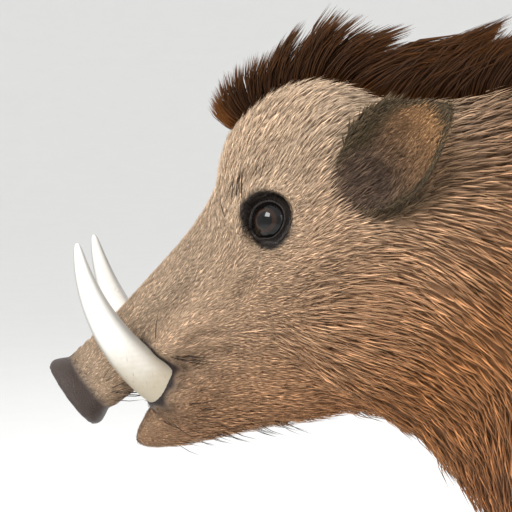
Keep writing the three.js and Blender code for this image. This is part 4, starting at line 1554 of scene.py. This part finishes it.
def filled(along, length):
    """Raises short bristles to a share of the longest near them, so that no gap is cut deep."""
    share, reach, step = MANE_FILL
    place = (along / step).astype(int)
    longest = np.zeros(place.max() + 1)
    for at in range(len(longest)):
        here = length[place == at]
        longest[at] = np.percentile(here, 92) if len(here) else 0.0
    span = round(reach / step)
    around = [longest[max(0, at - span):at + span + 1].max() for at in range(len(longest))]
    return np.maximum(length, share * np.array(around)[place])


def reach_inside(tree, roots, way):
    """How far each bristle can run from its root before it leaves a solid."""
    length = np.zeros(len(roots))
    for i, (root, step) in enumerate(zip(roots, way)):
        at = root + step * 0.004
        hit, normal, _, reach = tree.ray_cast(at, step)
        if hit is not None and normal @ Vector(step) < 0:
            again = tree.ray_cast(hit + Vector(step) * 0.0005, step)
            reach = None if again[3] is None else reach + again[3]
        length[i] = 0.0 if reach is None else reach
    return length


MANE_LOCKS = 10  # great locks that the crest falls into
MANE_FILL = (0.62, 0.040, 0.008)  # least share of the longest, how near those lie, and the step
MANE_TUFT = 0.011  # length of crest whose bristles lean together
MANE_HALF = 0.019  # half the width of the crest at its roots
MANE_SHORTEST, MANE_LONGEST = 0.012, 0.13
ROOT_DEPTH = 0.002  # that its bristles start under the skin
# least length of the bristles over the forehead: places along the crest, and lengths there
MANE_FRONT = ((0.0, 0.02, 0.04, 0.06, 0.085), (0.036, 0.048, 0.052, 0.040, 0.0))


class BoarMane(Operator):
    """The crest of long bristles from forehead to back"""

    bl_idname = "wild_boar.mane"
    bl_label = "Mane"

    def execute(self, context):
        settings = context.scene.boar_mane
        ground = Ground()
        draw = np.random.default_rng(11)
        along, whole, centre, tangent = crest_roots(ground, settings, draw)
        count = len(along)
        half = MANE_HALF * ease(along, -0.02, 0.05) * (1 - 0.5 * ease(along, whole - 0.12, whole))
        aside = (draw.random(count) * 2 - 1) * half
        roots = np.array([ground.top(a, b) for a, b in zip(aside, centre[:, 1])])
        roots[:, 2] -= ROOT_DEPTH
        outward = np.column_stack((np.zeros(count), -tangent[:, 2], tangent[:, 1]))
        tuft = np.round(along / MANE_TUFT + 0.35 * np.sin(along * 90))
        lean = np.array([noise.noise(Vector((t * 1.7, 0.3, 0.0))) for t in tuft])
        phase = (along / whole * MANE_LOCKS) % 1.0
        swept = 0.56 + 0.34 * phase + 0.16 * lean + 0.05 * draw.standard_normal(count)
        swept += 0.10 * ease(along, 0.10, 0.5)
        swept -= 0.42 * (1 - ease(along, 0.0, 0.07))
        way = outward * np.cos(swept)[:, None] + tangent * np.sin(swept)[:, None]
        way[:, 0] = -aside * 6.0 + 0.05 * draw.standard_normal(count)
        way = unit(way)
        length = reach_inside(surface_of("mane"), roots, way)
        length = filled(along, np.clip(length, np.interp(along, *MANE_FRONT), MANE_LONGEST))
        kept = length > MANE_SHORTEST
        roots, way, length = roots[kept], way[kept], length[kept]
        outward, along = outward[kept], along[kept]
        across = np.cross(way, outward)
        rise = unit(np.cross(across, way))
        dark, edge = np.array(settings.dark_colour), np.array(settings.edge_colour)
        front = 1 - ease(along, 0.0, 0.02)
        tint = dark + (edge - dark) * front[:, None]
        lock = lock_shape("bristle", (-0.02, 0.075, 0.085, 0.0), (1.0, 0.95, 0.62), thick=0.014)
        piece = ground.plant(
            "mane_bristles", "mane", lock, mane_finish(), roots, way, rise,
            length=length * 0.93, width=settings.width, tint=tint, spread=0.05, seed=3,
        )
        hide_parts("mane")
        bpy.data.objects.remove(lock)
        return {"FINISHED"}


def mane_finish():
    """Stiff dark bristles, brown at the root and at the split tip."""
    settings = bpy.context.scene.boar_mane
    finish = Finish("mane_hair", Specular_IOR_Level=0.18)
    tint = finish.attribute("tint", "Color")
    shade = finish.attribute("shade")
    along = finish.attribute("along")
    ends = along.ramp(0.62, 0.95) + (1 - along.ramp(0.02, 0.22))
    colour = finish.mix(ends * (0.30 + 0.45 * shade), tint, tuple(settings.edge_colour))
    streak = finish.noise(finish.place(), 140.0, 2.0)
    tone = (0.75 + 0.55 * shade) * (0.85 + 0.35 * streak)
    return finish.surface(finish.scaled(colour, tone), 0.45 + 0.2 * shade)


def tail_brush(ground, lock, finish, dark, draw):
    """Bristles round the end of the tail, which close to a point under it."""
    co, normals = ground.co, ground.normals
    low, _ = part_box("tail")
    rump = surface_of("trunk", "leg_hind_left", "leg_hind_right")
    behind = (co[:, 1] > low.y) & (np.abs(co[:, 0]) < 0.03)
    near = np.nonzero(behind & (co[:, 2] < low.z + 0.14))[0]
    weight = np.zeros(len(co))
    weight[near] = distance_to(rump, co[near]) > 0.018
    weight *= ease(co[:, 2], low.z + 0.002, low.z + 0.02)
    weight *= 1 - ease(co[:, 2], low.z + 0.09, low.z + 0.13)
    some = ground.pick(weight, 1500, 31)
    end = points_of(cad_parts["tail"].data)
    end = end[end[:, 2] < low.z + 0.02].mean(axis=0)
    end = np.array((end[0], end[1], low.z - 0.004)) + draw.normal(0.0, 0.005, (len(some), 3))
    way = end - co[some]
    room = np.linalg.norm(way, axis=1)
    way = unit(way / room[:, None] + normals[some] * 0.10)
    length = np.clip(room * (0.72 + 0.30 * draw.random(len(some))), 0.02, 0.08)
    ground.plant_on(
        some, "tail_brush", "mane", lock, finish, way,
        length=length, width=0.0018, tint=dark * 0.8, spread=0.04, seed=5,
    )


def coronets(ground, lock, finish, dark):
    """Fringe of hair over the tops of the hooves."""
    co, normals = ground.co, ground.normals
    low_leg = np.nonzero((co[:, 2] < 0.11) & (normals[:, 2] > -0.6))[0]
    weight = np.zeros(len(co))
    weight[low_leg] = 1 - ease(distance_to(surface_of(*HORN), co[low_leg]), 0.004, 0.012)
    some = ground.pick(weight, 2600, 33)
    way = unit(np.array((0.0, -0.05, -1.0)) + normals[some] * 0.28)
    ground.plant_on(
        some, "coronets", "leg", lock, finish, way,
        length=0.021, width=0.0018, tint=dark * 0.9, spread=0.12, seed=6,
    )


def whiskers(ground, lock, finish, dark):
    """Single stiff hairs of lips, chin and brows."""
    co = ground.co
    behind, above = head_frame(co)
    eye_behind, eye_above = head_frame(eye_ball("left")[0])
    tusks = surface_of("tusk_left", "tusk_right")
    side = np.abs(co[:, 0]) > 0.012
    lips = side * ease(behind, 0.028, 0.04) * (1 - ease(behind, 0.10, 0.14))
    lips *= (above < -0.004) * (above > -0.06)
    chin = (above < -0.075) * ease(behind, 0.04, 0.06) * (1 - ease(behind, 0.13, 0.17))
    brow = ((behind - eye_behind + 0.008) / 0.016) ** 2
    brow += ((above - eye_above - 0.040) / 0.007) ** 2
    brow = side * np.exp(-brow) * (np.abs(co[:, 0]) > 0.03)
    for name, weight, count, length in (
        ("whiskers_lips", lips, 64, 0.034), ("whiskers_chin", chin, 90, 0.030),
        ("whiskers_brow", brow, 24, 0.034),
    ):
        weight = weight * (ground.bare < 0.3) * (ground.ear < 0.1) * (co[:, 1] < -0.45)
        near = np.nonzero(weight)[0]
        weight[near] *= distance_to(tusks, co[near]) > 0.014
        some = ground.pick(weight, count, 40 + count)
        ground.plant_on(
            some, name, "snout", lock, finish, ground.standing(some, 0.6),
            length=length, width=0.0007, tint=dark, spread=0.18, seed=7 + count,
        )


def lashes(ground, lock, finish, dark, draw):
    """Short dark hairs along the upper lids."""
    roots, ways, rises = [], [], []
    for at in range(140):
        side = list(SIDES)[at % 2]
        centre, radius = eye_ball(side)
        turn = math.radians(15 + 150 * draw.random())
        back, high, gaze = eye_axes(side)
        out = back * math.cos(turn) + high * math.sin(turn)
        rim = centre + out * EYE_OPENING[0] * 1.07 + gaze * radius * 0.66
        roots.append(np.array(ground.tree.find_nearest(rim)[0]))
        ways.append(unit(gaze * 0.9 + out * 0.75 + np.array((0, 0, -0.15))))
        rises.append(unit(out - gaze * 0.8))
    ground.plant(
        "lashes", "eye", lock, finish, np.array(roots), np.array(ways), np.array(rises),
        length=0.011, width=0.0006, tint=dark * 0.6, spread=0.12, seed=9,
    )


def ear_hair(ground, lock, finish):
    """Long hair on the rims and inside of the ears."""
    rims = np.zeros(len(ground.co))
    inner = np.zeros(len(ground.co))
    for name, sign in SIDES.items():
        share, edge, face = ear_frame(name, ground.co)
        here = ground.ear * (np.sign(ground.co[:, 0]) == sign)
        rims += here * ease(edge, 0.78, 0.95) * ease(share, 0.15, 0.3)
        here = here * ease(ground.normals @ face, 0.3, 0.7)
        inner += here * (1 - ease(share, 0.55, 0.8)) * (1 - ease(edge, 0.5, 0.8))
    for name, spots, count, length, stand in (
        ("ear_rims", rims, 1500, 0.017, 0.25), ("ear_tufts", inner, 700, 0.020, 0.5),
    ):
        some = ground.pick(spots, count, 60 + count)
        ground.plant_on(
            some, name, "ear", lock, finish, ground.standing(some, stand), length=length,
            width=0.0011, tint=ground.tint[some] * 0.9, spread=0.2, seed=11 + count,
        )


def jowl_tufts(ground, lock, finish):
    """The longer hair of the cheeks."""
    behind, above = head_frame(ground.co)
    jowl = np.exp(-(((behind - 0.30) / 0.05) ** 2) - (((above + 0.10) / 0.03) ** 2))
    some = ground.pick(jowl * ease(np.abs(ground.co[:, 0]), 0.018, 0.03), 900, 77)
    ground.plant_on(
        some, "jowl_tufts", "face", lock, finish, ground.standing(some, 0.28), length=0.042,
        width=0.0018, tint=ground.tint[some] * 1.05, spread=0.15, seed=13,
    )


class BoarBristles(Operator):
    """Tail brush, whiskers, lashes and the long hair of ears and jowls"""

    bl_idname = "wild_boar.bristles"
    bl_label = "Bristles"

    def execute(self, context):
        ground = Ground()
        draw = np.random.default_rng(23)
        lock = lock_shape("bristle", (-0.02, 0.05, 0.04), (1.0, 0.7), thick=0.02)
        soft = hair_finish("bristle_hair", 0.35)
        stiff = hair_finish("whisker_hair", 0.0, 0.0)
        dark = np.array(context.scene.boar_coat.leg_colour)
        tail_brush(ground, lock, soft, dark, draw)
        coronets(ground, lock, soft, dark)
        whiskers(ground, lock, stiff, dark)
        lashes(ground, lock, stiff, dark, draw)
        ear_hair(ground, lock, soft)
        jowl_tufts(ground, lock, soft)
        bpy.data.objects.remove(lock)
        return {"FINISHED"}


# ------------------------------------------------------------------ stage


BOWL_FLOOR = 12.0  # reach of the level floor
BOWL_CURVE = 14.0  # radius of its edge that curves up
BOWL_SIDES = 72
# name, place, power in watts and width of each light
LIGHTS = (
    ("key", (2.6, -2.4, 3.2), 130.0, 1.6),
    ("fill", (2.4, 2.6, 2.0), 45.0, 2.5),
    ("back", (-3.0, 1.0, 3.0), 60.0, 2.0),
)
LIT_PLACE = (0.0, -0.3, 0.6)
SEEN_PLACE = Vector((0.0, -0.544, 0.702))
CAMERA_AZIMUTH, CAMERA_ELEVATION = math.radians(93.0), math.radians(4.0)
SENSOR = 36.0  # width in millimetres


def look_at(obj, target):
    obj.rotation_euler = (Vector(target) - obj.location).to_track_quat("-Z", "Y").to_euler()


def studio_bowl():
    """A wide level floor whose far edge curves up all round, so that no horizon shows."""
    work = bmesh.new()
    profile = [(BOWL_FLOOR * share, 0.0) for share in (0.1, 0.35, 0.7, 1.0)]
    for degrees in range(9, 91, 9):
        out, up = math.sin(math.radians(degrees)), 1 - math.cos(math.radians(degrees))
        profile.append((BOWL_FLOOR + BOWL_CURVE * out, BOWL_CURVE * up))
    turns = [2 * math.pi * i / BOWL_SIDES for i in range(BOWL_SIDES)]
    rings = [
        [work.verts.new((reach * math.cos(t), reach * math.sin(t), height)) for t in turns]
        for reach, height in profile
    ]
    middle = work.verts.new((0, 0, 0))
    for i in range(BOWL_SIDES):
        j = (i + 1) % BOWL_SIDES
        work.faces.new((middle, rings[0][i], rings[0][j]))
        for inner, outer in zip(rings, rings[1:]):
            work.faces.new((inner[i], outer[i], outer[j], inner[j]))
    mesh = as_mesh(work, "floor")
    mesh.shade_smooth()
    return mesh


def floor_finish():
    """Pale matt floor, a little uneven."""
    finish = Finish("studio_floor", Roughness=0.9)
    grain = finish.noise(finish.place(), 6.0)
    colour = tuple(bpy.context.scene.boar_stage.floor_colour)
    return finish.surface(finish.scaled(colour, 0.98 + 0.04 * grain))


class BoarStage(Operator):
    """A pale floor, soft lights and the camera"""

    bl_idname = "wild_boar.stage"
    bl_label = "Stage"

    def execute(self, context):
        settings = context.scene.boar_stage
        floor = new_object("floor", studio_bowl())
        floor.data.materials.append(floor_finish())
        world = bpy.data.worlds.new("studio")
        context.scene.world = world
        world.use_nodes = True
        world.node_tree.nodes["Background"].inputs["Color"].default_value = (1, 1, 1, 1)
        world.node_tree.nodes["Background"].inputs["Strength"].default_value = 1.0
        for name, place, power, width in LIGHTS:
            lamp = bpy.data.lights.new(name, "AREA")
            lamp.energy = power
            lamp.size = width
            light = bpy.data.objects.new(name, lamp)
            context.scene.collection.objects.link(light)
            light.location = place
            look_at(light, LIT_PLACE)
        camera = bpy.data.objects.new("camera", bpy.data.cameras.new("camera"))
        context.scene.collection.objects.link(camera)
        away = Vector((
            math.sin(CAMERA_AZIMUTH) * math.cos(CAMERA_ELEVATION),
            -math.cos(CAMERA_AZIMUTH) * math.cos(CAMERA_ELEVATION),
            math.sin(CAMERA_ELEVATION),
        ))
        camera.location = SEEN_PLACE + away * settings.distance
        look_at(camera, SEEN_PLACE)
        camera.data.sensor_width = SENSOR
        camera.data.lens = SENSOR * settings.distance / settings.view_width
        context.scene.camera = camera
        context.scene.view_settings.view_transform = "Standard"
        return {"FINISHED"}


OPERATORS = (
    BoarSkin, BoarEyes, BoarTusks, BoarHooves, BoarCoat, BoarMane, BoarBristles, BoarStage,
)


class BoarPanel(Panel):
    """Lists the pieces of the boar"""

    bl_idname = "VIEW3D_PT_wild_boar"
    bl_label = "Wild Boar"
    bl_space_type = "VIEW_3D"
    bl_region_type = "UI"
    bl_category = "Wild Boar"

    def draw(self, context):
        for operator in OPERATORS:
            self.layout.operator(operator.bl_idname)
        for name in SETTINGS:
            group = getattr(context.scene, name)
            box = self.layout.box()
            for key in group.__annotations__:
                box.prop(group, key)


def register():
    for cls in (*SETTINGS.values(), *OPERATORS, BoarPanel):
        bpy.utils.register_class(cls)
    for name, cls in SETTINGS.items():
        setattr(bpy.types.Scene, name, PointerProperty(type=cls))


def unregister():
    for name in SETTINGS:
        delattr(bpy.types.Scene, name)
    for cls in reversed((*SETTINGS.values(), *OPERATORS, BoarPanel)):
        bpy.utils.unregister_class(cls)


def main():
    register()
    for operator in OPERATORS:
        group, name = operator.bl_idname.split(".")
        getattr(getattr(bpy.ops, group), name)()


if __name__ == "__main__":
    main()
